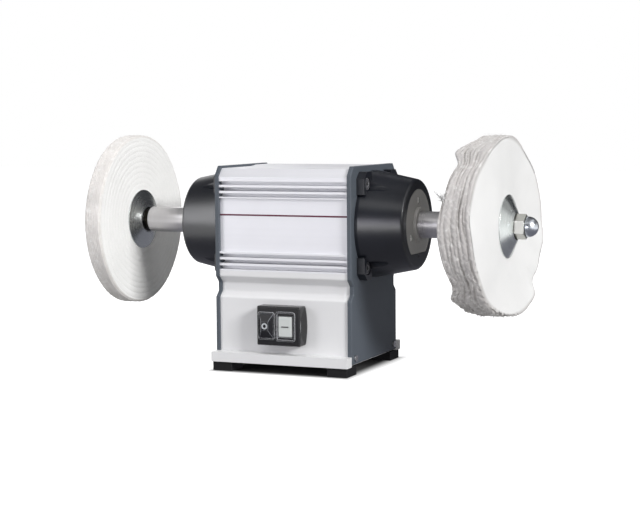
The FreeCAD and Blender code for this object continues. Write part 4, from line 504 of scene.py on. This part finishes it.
# %% Helper for closed grids
def ring_mesh(name, grid, masks):
    """A closed mesh from an array of points (round, across, 3) that wraps both ways. Corner (i, j) joins
    (i+1, j), (i+1, j+1) and (i, j+1), counted round. Masks are named arrays (round, across)."""
    rounds, across = grid.shape[:2]
    i, j = np.meshgrid(np.arange(rounds), np.arange(across), indexing="ij")
    steps = ((0, 0), (0, 1), (1, 1), (1, 0))
    corners = np.stack([(i + a) % rounds * across + (j + b) % across for a, b in steps], -1)
    shares = np.stack([np.stack([i + a, j + b], -1) / (rounds, across) for a, b in steps], 2)
    mesh = bpy.data.meshes.new(name)
    mesh.from_pydata(grid.reshape(-1, 3).tolist(), [], corners.reshape(-1, 4).tolist())
    mesh.polygons.foreach_set("use_smooth", np.ones(rounds * across, bool))
    mesh.uv_layers.new(name="around").data.foreach_set("uv", shares.astype(np.float32).ravel())
    for label, values in masks.items():
        numbers = values.astype(np.float32).ravel()
        mesh.attributes.new(label, "FLOAT", "POINT").data.foreach_set("value", numbers)
    return mesh


def show(name, mesh, slot, body):
    """Puts a mesh in the scene with its slot's finish, and lets it ride on a body."""
    mesh.materials.append(FINISHES[slot])
    piece = bpy.data.objects.new(name, mesh)
    bpy.context.scene.collection.objects.link(piece)
    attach(piece, body)
    return piece


def smooth_step(value, low, high):
    """0 below low, 1 above high, and 3t^2 - 2t^3 between them."""
    t = np.clip((value - low) / (high - low), 0, 1)
    return t * t * (3 - 2 * t)


def corner_loss(from_middle, half, rounding):
    """How much a round corner takes off a rim's radius: nothing up to one rounding from its edge, then
    rounding * (1 - sqrt(1 - t^2)), where t goes from 0 to 1 at the edge."""
    over = np.clip((from_middle - half + rounding) / rounding, 0, 1)
    return rounding * (1 - np.sqrt(1 - over ** 2))


def face_radii(edge, steps):
    """Radii from the bore to the flange and on to an edge, as one row."""
    return np.concatenate([np.linspace(BORE_RADIUS, FLANGE_RADIUS, 4, endpoint=False),
                           np.linspace(FLANGE_RADIUS, edge, steps)])[None, :]


def uneven(angle, seed, first, last, size):
    """A ripple round the wheel: the sum of cosines from first to last per turn, with seeded sizes and
    starts, scaled to this largest size or so."""
    chance = np.random.default_rng(seed)
    total = sum(chance.uniform(0.4, 1) * np.cos(k * angle + chance.uniform(0, 2 * math.pi))
                for k in range(first, last + 1))
    return total * size / math.sqrt(last - first + 1)


def uneven_patch(angle, share, seed, round_most, across_most, count, size):
    """Small bumps over a rim: the sum of cosines that run in many directions over it, with seeded whole
    numbers of waves per turn, waves across, and starts."""
    chance = np.random.default_rng(seed)
    total = sum(np.cos(int(chance.integers(round_most // 4, round_most)) * angle
                       + chance.uniform(-across_most, across_most) * 2 * math.pi * share
                       + chance.uniform(0, 2 * math.pi)) for _ in range(count))
    return total * size / math.sqrt(count)


def wheel_point(x, radius, angle):
    """Points at a distance along the spindle, a radius, and an angle from the back over the top."""
    return np.stack([x, radius * np.cos(angle), SHAFT_HEIGHT + radius * np.sin(angle)], -1)


def buff_surface(angle, x, radii, rim_radius, clefts, rim_band):
    """Points and masks of a buff whose outline goes up one face, over the rim, down the other face and
    back through the bore. X is the whole outline's place along the spindle, radii are those of a face,
    and the rim's mask rises over a band of radii."""
    wide = np.ones_like(angle)
    face = radii * wide
    hole = np.ones((len(angle), x.shape[1] - 2 * face.shape[1] - rim_radius.shape[1]))
    radius = np.concatenate([face, rim_radius, face[:, ::-1], BORE_RADIUS * hole], 1)
    cleft = np.concatenate([0 * face, clefts * wide, 0 * face, 0 * hole], 1)
    masks = {"rim": smooth_step(radius, *rim_band), "cleft": cleft}
    return wheel_point(x, radius, angle * np.ones_like(x)), masks


WHEEL_RADIUS = 100 * MM
BORE_RADIUS = 8.3 * MM
print("grid helpers ready")

# %% [markdown]
# ## The sewn buff
# This buff is a stack of cotton discs, stitched through in a spiral from the flange to the rim. Each
# turn of the stitching pulls the faces in, so the cloth between two turns swells. The rim shows the cut
# edges of the plies as fine lines. All of it is one outline whose two faces, rim and bore are functions
# of the radius and the angle.

# %% Shape of the sewn buff
STITCH_START = 41 * MM
STITCH_PITCH = 6.2 * MM
STITCH_END = 95 * MM
STITCH_FADE_IN = 5 * MM
STITCH_FADED_OUT = 97 * MM
SEWN_RIM = WHEEL_RADIUS - 0.7 * MM
SEWN_ROUND = 3.2 * MM
SEWN_PLIES = 9
SEWN_HALF = (SEWN_RIGHT - SEWN_LEFT) / 2
SEWN_MIDDLE = (SEWN_RIGHT + SEWN_LEFT) / 2
SEWN_CLEAR = 0.08 * MM
GROOVE_WIDTH = 0.9 * MM
PLY_GROOVE = 0.6 * MM


def sewn_face(radius, angle, side):
    """Distance of a face from the buff's middle plane: half the clamped width, less a groove where the
    radius meets the stitch spiral, plus a swelling between grooves and a slow wave that grows with the
    radius. The cloth hangs, so grooves and swellings are deeper below the spindle."""
    turns = (radius - STITCH_START) / STITCH_PITCH - side * angle / (2 * math.pi)
    from_seam = np.abs((turns + 0.5) % 1 - 0.5) * STITCH_PITCH
    sewn = smooth_step(radius, STITCH_START - STITCH_FADE_IN, STITCH_START) * (
        1 - smooth_step(radius, STITCH_END, STITCH_FADED_OUT))
    groove = (0.3 - 0.12 * np.sin(angle)) * MM * np.exp(-(from_seam / GROOVE_WIDTH) ** 2)
    swell = (0.2 - 0.1 * np.sin(angle)) * MM * np.cos(math.pi * (0.5 - from_seam / STITCH_PITCH)) * sewn
    free = smooth_step(radius, FLANGE_RADIUS, FLANGE_RADIUS + 8 * MM)
    wave = uneven(angle + side, seed=3 + side, first=2, last=6, size=0.45 * MM)
    slack = (radius / WHEEL_RADIUS) ** 2 * wave + 0.1 * MM
    return SEWN_HALF - SEWN_CLEAR + free * slack + swell - groove * sewn


def sewn_rim(share, angle):
    """Radius of the rim and how deep a point lies in a groove, at a share from -1 to 1 across it: the
    rim's own radius, less round corners, less a fine groove between each two plies, plus fraying."""
    corner = corner_loss(np.abs(share) * SEWN_HALF, SEWN_HALF, SEWN_ROUND)
    drift = uneven(angle, seed=11, first=3, last=9, size=0.12)
    ply = np.abs(np.sin((share + drift * (1 - share ** 2)) * math.pi * SEWN_PLIES / 2))
    fray = uneven_patch(angle, share, seed=12, round_most=90, across_most=3, count=30, size=0.16 * MM)
    fray = fray + uneven(angle, seed=13, first=2, last=7, size=0.5 * MM)
    return SEWN_RIM - corner - PLY_GROOVE * (1 - ply) ** 2 + fray, (1 - ply) ** 3


def sewn_buff_grid(rounds=320, faces=96, rim=44, bore=3):
    """The outline goes up the right face and down the left one."""
    angle = np.linspace(0, 2 * math.pi, rounds, endpoint=False)[:, None]
    radii = face_radii(SEWN_RIM - SEWN_ROUND, faces)
    shares = np.sin(np.linspace(0.5, -0.5, rim + 2)[1:-1] * math.pi)[None, :]
    right = sewn_face(radii, angle, 1)
    left = sewn_face(radii[:, ::-1], angle, -1)
    rim_radius, clefts = sewn_rim(shares, angle)
    half = np.where(shares > 0, right[:, -1:], left[:, :1])
    hole = np.linspace(-1, 1, bore + 2)[None, 1:-1] * np.ones_like(angle) * (SEWN_HALF - SEWN_CLEAR)
    x = np.concatenate([right, shares * half, -left, hole], 1) + SEWN_MIDDLE
    return buff_surface(angle, x, radii, rim_radius, clefts * 0.5, (95.5 * MM, 97.5 * MM))


grid, masks = sewn_buff_grid()
mesh = ring_mesh("sewn_buff_cloth", grid, masks)
sewn_cloth = show("sewn_buff_cloth", mesh, "sewn_cloth", "spindle")
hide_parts("sewn_buff")
print("sewn buff points:", grid.shape)

# %% [markdown]
# ## Short threads
# Stitches and loose fibres are the same thing: a short thin thread between two points with a bend in
# its middle. Hundreds of them are one mesh, each a three-sided tube of a few faces that narrows to its
# ends. The tube's cross-section needs two directions at right angles to the thread.

# %% Helper for threads
def thread_mesh(name, starts, middles, ends, radius, steps=4, sides=3):
    """Tubes along quadratic curves: point = (1-t)^2 start + 2t(1-t) middle + t^2 end. Their radius is
    largest in the middle and falls to a quarter of it at both ends, as a sine does."""
    t = np.linspace(0, 1, steps + 1)[None, :, None]
    line = (1 - t) ** 2 * starts[:, None] + 2 * t * (1 - t) * middles[:, None] + t ** 2 * ends[:, None]
    run = (ends - starts) / np.linalg.norm(ends - starts, axis=1, keepdims=True)
    guide = np.where(np.abs(run[:, :1]) < 0.8, (1.0, 0, 0), (0, 1.0, 0))
    first = np.cross(run, guide)
    first /= np.linalg.norm(first, axis=1, keepdims=True)
    second = np.cross(run, first)
    turn = np.arange(sides) * 2 * math.pi / sides
    girth = radius * (0.25 + 0.75 * np.sin(math.pi * t))
    ring = first[:, None, None] * np.cos(turn)[:, None] + second[:, None, None] * np.sin(turn)[:, None]
    points = line[:, :, None] + ring * girth[..., None]
    count = len(starts)
    block = (np.arange(count) * (steps + 1) * sides)[:, None, None]
    step, side = np.meshgrid(np.arange(steps), np.arange(sides), indexing="ij")
    turned = (side + 1) % sides
    corners = np.stack([step * sides + side, step * sides + turned, (step + 1) * sides + turned,
                        (step + 1) * sides + side], -1).reshape(1, -1, 4)
    caps = np.stack([np.arange(sides)[::-1], steps * sides + np.arange(sides)])[None]
    faces = (block + corners).reshape(-1, 4).tolist() + (block + caps).reshape(-1, sides).tolist()
    mesh = bpy.data.meshes.new(name)
    mesh.from_pydata(points.reshape(-1, 3).tolist(), [], faces)
    mesh.polygons.foreach_set("use_smooth", np.ones(len(mesh.polygons), bool))
    return mesh


print("thread helper ready")

# %% [markdown]
# ## The stitches
# The spiral seam is sewn with a thick thread: a stitch about 4 mm long lies on the face, then the
# thread dives through the stack and comes out again on the other face. The stitches follow the same
# spiral as the grooves above, on both faces.

# %% Sew the spiral seam
STITCH_RADIUS = 0.25 * MM
STITCH_RISE = 0.45 * MM
STITCH_DIP = 0.25 * MM


def stitches(side, length=4.4 * MM, gap=2.2 * MM, samples=6000):
    """Starts, middles and ends of the stitches on one face: the middle rises over the face and the ends
    dip under it. The angle grows so that each stitch takes the same length: along a spiral of radius r,
    d(angle) = d(length) / r."""
    turns = (STITCH_END - STITCH_START) / STITCH_PITCH
    angle_fine = np.linspace(0, turns * 2 * math.pi, samples)
    radius_fine = STITCH_START + STITCH_PITCH * angle_fine / (2 * math.pi)
    run = np.concatenate([[0], np.cumsum(np.diff(angle_fine) * radius_fine[1:])])
    begin = np.arange(0, run[-1] - length, length + gap)
    places = []
    for offset in (0, length / 2, length):
        angle = np.interp(begin + offset, run, angle_fine)
        radius = STITCH_START + STITCH_PITCH * angle / (2 * math.pi)
        lift = STITCH_RISE if offset == length / 2 else -STITCH_DIP
        x = SEWN_MIDDLE + side * (sewn_face(radius, side * angle, side) + lift)
        places.append(wheel_point(x, radius, side * angle))
    return places


both = [np.concatenate(pair) for pair in zip(stitches(1), stitches(-1))]
show("sewn_buff_seam", thread_mesh("sewn_buff_seam", *both, STITCH_RADIUS), "sewn_cloth", "spindle")
print("stitches:", len(both[0]))

# %% [markdown]
# ## The loose buff
# This buff is a stack of cotton discs that are held at the flange only, so they flop: towards the
# housing at the front, away from it at the back, with folds between. Its two outer faces are sums of a
# few cosines round the wheel, measured in the photograph at the rim, and of single lobes. From the
# flange to the rim they grow as a power of the distance. Between them lie the plies, and the rim is
# cleft between each two.

# %% Shape of the loose buff
LOOSE_PLIES = 9
LOOSE_RIM = WHEEL_RADIUS - 1.6 * MM
LOOSE_ROUND = 2.2 * MM
LOOSE_CLEAR = 0.05 * MM
FAN_POWER = 1.25
LEAN_IN = ((10.6, 1, 0.005), (4.5, 2, 0.52), (2.1, 6, 0.483))
LEAN_OUT = ((12.5, 1, 0.944), (2.5, 2, 0.589), (1.7, 4, 0.225))
SPREAD_IN = 8.6 * MM
SPREAD_OUT = 1.7 * MM
LOBES_IN = ((104, 6, 3.0), (122, 7, -6.5), (136, 6, 4.2), (218, 7, 2.6), (229, 5, -4.0), (256, 5, 3.5))
LOBES_OUT = ((133, 12, 1.5), (170, 14, -1.0), (303, 6, 2.0), (318, 7, -6.2), (348, 9, 3.0))
CLEFT_DEPTH = 1.7 * MM
CLEFT_WIDTH = 1.25 * MM
PLY_STEP_SHARE = 0.02
PLY_STEP_REACH = 9 * MM
RAGGED_EXTRA, RAGGED_AT, RAGGED_WIDTH = 2.4, 238, 26


def wave(angle, terms):
    """The sum of size * cos(times * angle - 2 pi * peak). Each term gives its size in mm, how many times
    it goes round, and its peak as a share of a turn."""
    return sum(size * MM * np.cos(times * angle - 2 * math.pi * peak) for size, times, peak in terms)


def lobes(angle, places):
    """The sum of height * exp(-(turn / width)^2), where turn is the angle to the lobe the short way. Each
    place gives the lobe's angle and width in degrees and its height in mm."""
    total = 0
    for at, width, height in places:
        turn = (np.degrees(angle) - at + 180) % 360 - 180
        total = total + height * MM * np.exp(-(turn / width) ** 2)
    return total


def loose_faces(radius, angle):
    """Places along the spindle of the inner and outer face. Both leave the clamped hub and reach their
    rim waves with the distance to a power. Lobes and small folds grow faster, near the rim."""
    out = np.clip((radius - FLANGE_RADIUS) / (WHEEL_RADIUS - FLANGE_RADIUS), 0, 1)
    fan = out ** FAN_POWER
    folds_in = out ** 2 * uneven(angle, seed=21, first=7, last=16, size=0.55 * MM)
    folds_out = out ** 2 * uneven(angle + 0.25 * out, seed=22, first=6, last=15, size=0.6 * MM)
    inner = LOOSE_LEFT + (wave(angle, LEAN_IN) - SPREAD_IN) * fan + folds_in
    outer = LOOSE_RIGHT + (wave(angle, LEAN_OUT) + SPREAD_OUT) * fan + folds_out
    inner = inner + out ** 3 * lobes(angle, LOBES_IN)
    outer = outer + out ** 3 * lobes(angle, LOBES_OUT)
    return inner + LOOSE_CLEAR * (1 - fan), outer - LOOSE_CLEAR * (1 - fan)


def loose_rim(share, angle, width):
    """Radius of the rim and how deep a point lies in a cleft, at a share from 0 to 1 across the rim.
    Plies meet at shares that wander round the wheel; each meeting cuts a groove of changing depth and
    is a small step. The rim has five low waves round it, and its fraying is worst at the ragged place."""
    corner = corner_loss(np.abs(share - 0.5) * width, width / 2, LOOSE_ROUND)
    radius = LOOSE_RIM + 0.8 * MM * np.cos(5 * angle - 0.63) - corner
    cleft = np.zeros_like(radius)
    for ply in range(1, LOOSE_PLIES):
        meeting = (ply + uneven(angle, seed=30 + ply, first=1, last=6, size=0.5)) / LOOSE_PLIES
        apart = np.abs(share - meeting) * width
        strength = np.clip(0.5 + uneven(angle, seed=50 + ply, first=2, last=9, size=0.6), 0.0, 1.2)
        cleft = np.maximum(cleft, strength * np.exp(-(apart / CLEFT_WIDTH) ** 2))
        lift = uneven(angle, seed=70 + ply, first=2, last=10, size=0.6 * MM)
        step = lift * smooth_step(share, meeting - PLY_STEP_SHARE, meeting + PLY_STEP_SHARE)
        radius = radius + step * np.exp(-apart / PLY_STEP_REACH)
    ragged = 1 + RAGGED_EXTRA * np.exp(-((np.degrees(angle) - RAGGED_AT) / RAGGED_WIDTH) ** 2)
    bumps = uneven_patch(angle, share, seed=90, round_most=120, across_most=7, count=40, size=0.2 * MM)
    fray = ragged * (bumps + uneven(angle, seed=91, first=3, last=14, size=0.3 * MM))
    return radius - CLEFT_DEPTH * cleft + fray, np.clip(cleft, 0, 1)


def loose_buff_grid(rounds=600, faces=20, rim=84, bore=3):
    """The outline goes up the outer face and down the inner one."""
    angle = np.linspace(0, 2 * math.pi, rounds, endpoint=False)[:, None]
    radii = face_radii(LOOSE_RIM - LOOSE_ROUND, faces)
    inner, outer = loose_faces(radii, angle)
    width = outer[:, -1:] - inner[:, -1:]
    shares = (0.5 + 0.5 * np.sin(np.linspace(0.5, -0.5, rim + 2)[1:-1] * math.pi))[None, :]
    rim_radius, clefts = loose_rim(shares, angle, width)
    hole_share = np.linspace(0, 1, bore + 2)[None, 1:-1]
    hole = inner[:, :1] + (outer[:, :1] - inner[:, :1]) * hole_share
    x = np.concatenate([outer, inner[:, -1:] + width * shares, inner[:, ::-1], hole], 1)
    return buff_surface(angle, x, radii, rim_radius, clefts, (94 * MM, 97 * MM))


grid, masks = loose_buff_grid()
mesh = ring_mesh("loose_buff_cloth", grid, masks)
loose_cloth = show("loose_buff_cloth", mesh, "loose_cloth", "spindle")
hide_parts("loose_buff")
print("loose buff points:", grid.shape)

# %% [markdown]
# ## Loose fibres
# The cut edges of the cotton fray. About twelve hundred short fibres stand out of both rims in all
# directions, and on the loose buff there are a small tuft of thicker ones and a frayed stretch. Their
# places are drawn from a seeded list, so every run gives the same fibres.

# %% Fray the rims
ROOT_DEPTH = 1.0 * MM


def fibres(name, count, seed, across, rim_radius, longest, slot, turn=(0, 360), shares=(0.04, 0.96),
           girth=0.11 * MM):
    """Fibres with seeded places on the rim: they start just inside the rim and end up to the longest
    length further out, bent sideways. Across gives the place along the spindle at a share and an angle.
    The turn in degrees and the shares across the rim say where they grow, and girth is their radius."""
    chance = np.random.default_rng(seed)
    angle = np.radians(chance.uniform(*turn, count))
    share = chance.uniform(*shares, count)
    length = longest * chance.uniform(0.25, 1, count) ** 2
    root = rim_radius - ROOT_DEPTH
    lean = chance.normal(0, 0.6, (count, 2)) * length[:, None]
    x = across(share, angle)
    start = wheel_point(x, root * np.ones(count), angle)
    end = wheel_point(x + lean[:, 0], root + length, angle + lean[:, 1] / root)
    middle = wheel_point(x + lean[:, 0] * 0.2, root + length * 0.8, angle + lean[:, 1] * 0.2 / root)
    show(name, thread_mesh(name, start, middle, end, girth), slot, "spindle")


def across_sewn(share, angle, inset=1.5 * MM):
    """A place across the rim of the sewn buff, which is as wide at every angle."""
    return SEWN_MIDDLE + (share * 2 - 1) * (SEWN_HALF - inset)


def across_loose(share, angle):
    """A place across the rim of the loose buff, between its two faces at that angle."""
    inner, outer = loose_faces(WHEEL_RADIUS * np.ones_like(angle), angle)
    return inner + (outer - inner) * share


fibres("sewn_buff_fibres", 220, 5, across_sewn, WHEEL_RADIUS - 0.9 * MM, 2.6 * MM, "sewn_cloth")
fibres("loose_buff_fibres", 700, 6, across_loose, LOOSE_RIM, 4.5 * MM, "loose_cloth")
fibres("loose_buff_tuft", 60, 8, across_loose, WHEEL_RADIUS - 4.5 * MM, 10 * MM, "loose_cloth",
       turn=(158, 161), shares=(0.0, 0.03), girth=0.45 * MM)
fibres("loose_buff_fray", 240, 9, across_loose, WHEEL_RADIUS - 2.0 * MM, 6.0 * MM, "loose_cloth",
       turn=(208, 272), shares=(0.0, 0.9))
print("fibres on both rims")

# %% [markdown]
# ## Floor and light
# A product photograph has a white surround and soft light. The floor is grey paper by itself, so that
# it throws little light up at the machine, and under the machine the paper is darker still, a painted
# shadow. Where the camera, or a shiny piece, looks at it, light of its own is added, so that it looks
# white. That light starts at the feet, so the shadow under the machine stays dark. The world does the
# same: it lights the object at a plain level, and only looks white.

# %% Floor and world
def seen_directly(tree):
    """1 for camera, glossy and transmission rays, else 0."""
    path = put(tree, "ShaderNodeLightPath").outputs
    shiny = calculate(tree, "MAXIMUM", path["Is Glossy Ray"], path["Is Transmission Ray"])
    return calculate(tree, "MAXIMUM", path["Is Camera Ray"], shiny)


FLOOR_SIZE = 12.0
FLOOR_DROP = 0.0002
PAPER_PAINTED_SHADOW = 0.1
PAPER_MORE_OUTSIDE = 0.32
SHADOW_HALF = Vector((0.08, 0.082))
SHADOW_START = -0.01
SHADOW_END = 0.016
WORLD_LEVEL = 0.12

half = FLOOR_SIZE / 2
floor_corners = [(x * half, y * half, -FLOOR_DROP) for x, y in ((-1, -1), (1, -1), (1, 1), (-1, 1))]
floor_mesh = bpy.data.meshes.new("studio_floor")
floor_mesh.from_pydata(floor_corners, [], [(0, 1, 2, 3)])
floor = bpy.data.objects.new("studio_floor", floor_mesh)
bpy.context.scene.collection.objects.link(floor)

floor_material, tree = empty_material("studio_floor")
place = put(tree, "ShaderNodeSeparateXYZ", {0: object_place(tree)}).outputs
beyond = [calculate(tree, "SUBTRACT", calculate(tree, "ABSOLUTE", place[axis]), SHADOW_HALF[axis])
          for axis in (0, 1)]
outside = calculate(tree, "MAXIMUM", *beyond)
clear = put(tree, "ShaderNodeMapRange", {
    "Value": outside, "From Min": SHADOW_START, "From Max": SHADOW_END, "To Min": 0.0, "To Max": 1.0},
            interpolation_type="SMOOTHSTEP").outputs[0]
# Painted shadow: the paper is darker under the machine and lighter grey outside it.
shade = calculate(tree, "MULTIPLY_ADD", clear, PAPER_MORE_OUTSIDE, PAPER_PAINTED_SHADOW)
grey = put(tree, "ShaderNodeCombineColor", {"Red": shade, "Green": shade, "Blue": shade})
paper = put(tree, "ShaderNodeBsdfDiffuse", {"Color": grey.outputs[0]})
strength = calculate(tree, "MULTIPLY", seen_directly(tree), clear)
own_light = put(tree, "ShaderNodeEmission", {"Strength": strength})
both_shaders = put(tree, "ShaderNodeAddShader", {0: paper.outputs[0], 1: own_light.outputs[0]})
put(tree, "ShaderNodeOutputMaterial", {"Surface": both_shaders.outputs[0]})
floor_mesh.materials.append(floor_material)

world = bpy.data.worlds.new("studio_world")
world.use_nodes = True
tree = world.node_tree
tree.nodes.clear()
strength = calculate(tree, "MULTIPLY_ADD", seen_directly(tree), 1.0 - WORLD_LEVEL, WORLD_LEVEL)
sky = put(tree, "ShaderNodeBackground", {"Color": (1, 1, 1, 1), "Strength": strength})
put(tree, "ShaderNodeOutputWorld", {"Surface": sky.outputs[0]})
bpy.context.scene.world = world
print("floor and world ready")

# %% [markdown]
# ## Lamps
# The world alone would be flat. In the photograph the housing throws a shadow on the lower back of the
# sewn buff, and the line from that shadow's edge past the side plate points at the main lamp: to the
# right, a little to the front and about 24 degrees up. A weaker lamp in front lights the panel and draws
# the narrow highlight on the right bell, and a wide one at the left draws the broad one on the left bell.
# A low lamp fills the slopes that face down, as the white table does in the photograph. One lamp above
# and one behind light the tops and the back. The power for a wanted share of white at a distance d is
# share * (pi * d)^2 watts.

# %% Hang the lamps
AIM = Vector((0, 0, 0.16))


def softbox(name, direction, distance, width, height, share, colour=(1, 1, 1)):
    """An area lamp that gives this share of white on a surface turned towards it, at the aim."""
    lamp = bpy.data.lights.new(name, "AREA")
    lamp.shape = "RECTANGLE"
    lamp.size = width
    lamp.size_y = height
    lamp.color = colour
    lamp.energy = share * (math.pi * distance) ** 2
    box = bpy.data.objects.new(name, lamp)
    outward = Vector(direction).normalized()
    box.location = AIM + outward * distance
    box.rotation_euler = (-outward).to_track_quat("-Z", "Y").to_euler()
    bpy.context.scene.collection.objects.link(box)


softbox("main_light", (0.81, -0.36, 0.39), 8.0, 2.2, 1.9, 0.94)
softbox("front_light", (-0.02, -1.0, 0.12), 2.2, 0.7, 0.36, 0.08, (0.9, 0.88, 1.0))
softbox("left_light", (-0.72, -0.70, 0.2), 3.2, 1.1, 2.2, 0.32, (0.97, 0.97, 1.0))
softbox("low_light", (0.1, -0.98, -0.03), 2.4, 1.2, 0.16, 0.08)
softbox("top_light", (0.0, -0.2, 0.97), 3.2, 1.6, 1.6, 0.42)
softbox("back_light", (-0.3, 0.9, 0.5), 2.4, 1.2, 1.2, 0.2)

# %% [markdown]
# ## Dark cards
# Bare metal only looks like metal where it mirrors both light and dark. Photographers hang black cards
# beside the lamps for that. These are such cards: large dark sheets outside the picture that only
# mirrors see, so they take no light from the machine.

# %% Hang the dark cards
def dark_card(name, corners, faces, shade):
    """A dark and slightly blue sheet that only glossy rays see."""
    mesh = bpy.data.meshes.new(name)
    mesh.from_pydata(corners, [], faces)
    material, tree = empty_material(name)
    glow = put(tree, "ShaderNodeEmission", {"Color": (shade, shade, shade * 1.15, 1), "Strength": 1.0})
    put(tree, "ShaderNodeOutputMaterial", {"Surface": glow.outputs[0]})
    mesh.materials.append(material)
    card = bpy.data.objects.new(name, mesh)
    bpy.context.scene.collection.objects.link(card)
    for ray in ("camera", "diffuse", "transmission", "shadow"):
        setattr(card, "visible_" + ray, False)


def bent_card(name, distance, turn, rise, shade=0.04, steps=8):
    """A card bent round the machine: a piece of a cylinder about the Z axis, at this distance, from one
    turn to the other in degrees from +X, and from one height to the other."""
    angle = np.radians(np.linspace(turn[0], turn[1], steps + 1))
    x, y = distance * np.cos(angle), distance * np.sin(angle)
    corners = np.concatenate([np.stack([x, y, z + 0 * angle], -1) for z in rise])
    first = np.arange(steps)
    faces = np.stack([first, first + 1, first + steps + 2, first + steps + 1], -1)
    dark_card(name, corners.tolist(), faces.tolist(), shade)


def flat_card(name, x, y, height, shade):
    """A level card between two values of x and of y."""
    corners = [(x[0], y[0], height), (x[1], y[0], height), (x[1], y[1], height), (x[0], y[1], height)]
    dark_card(name, corners, [(0, 1, 2, 3)], shade)


bent_card("back_card", 1.3, (45, 119), (0.0, 1.3))
bent_card("front_card", 2.8, (-114, -44), (0.0, 2.2))
bent_card("high_right_card", 2.8, (-10, 45), (0.9, 2.6))
flat_card("ceiling_card", (-3.6, 1.6), (-2.2, 3.5), 3.0, 0.06)
flat_card("table_card", (-0.35, 0.7), (-0.8, 1.3), 0.0004, 0.22)
print("cards hung")
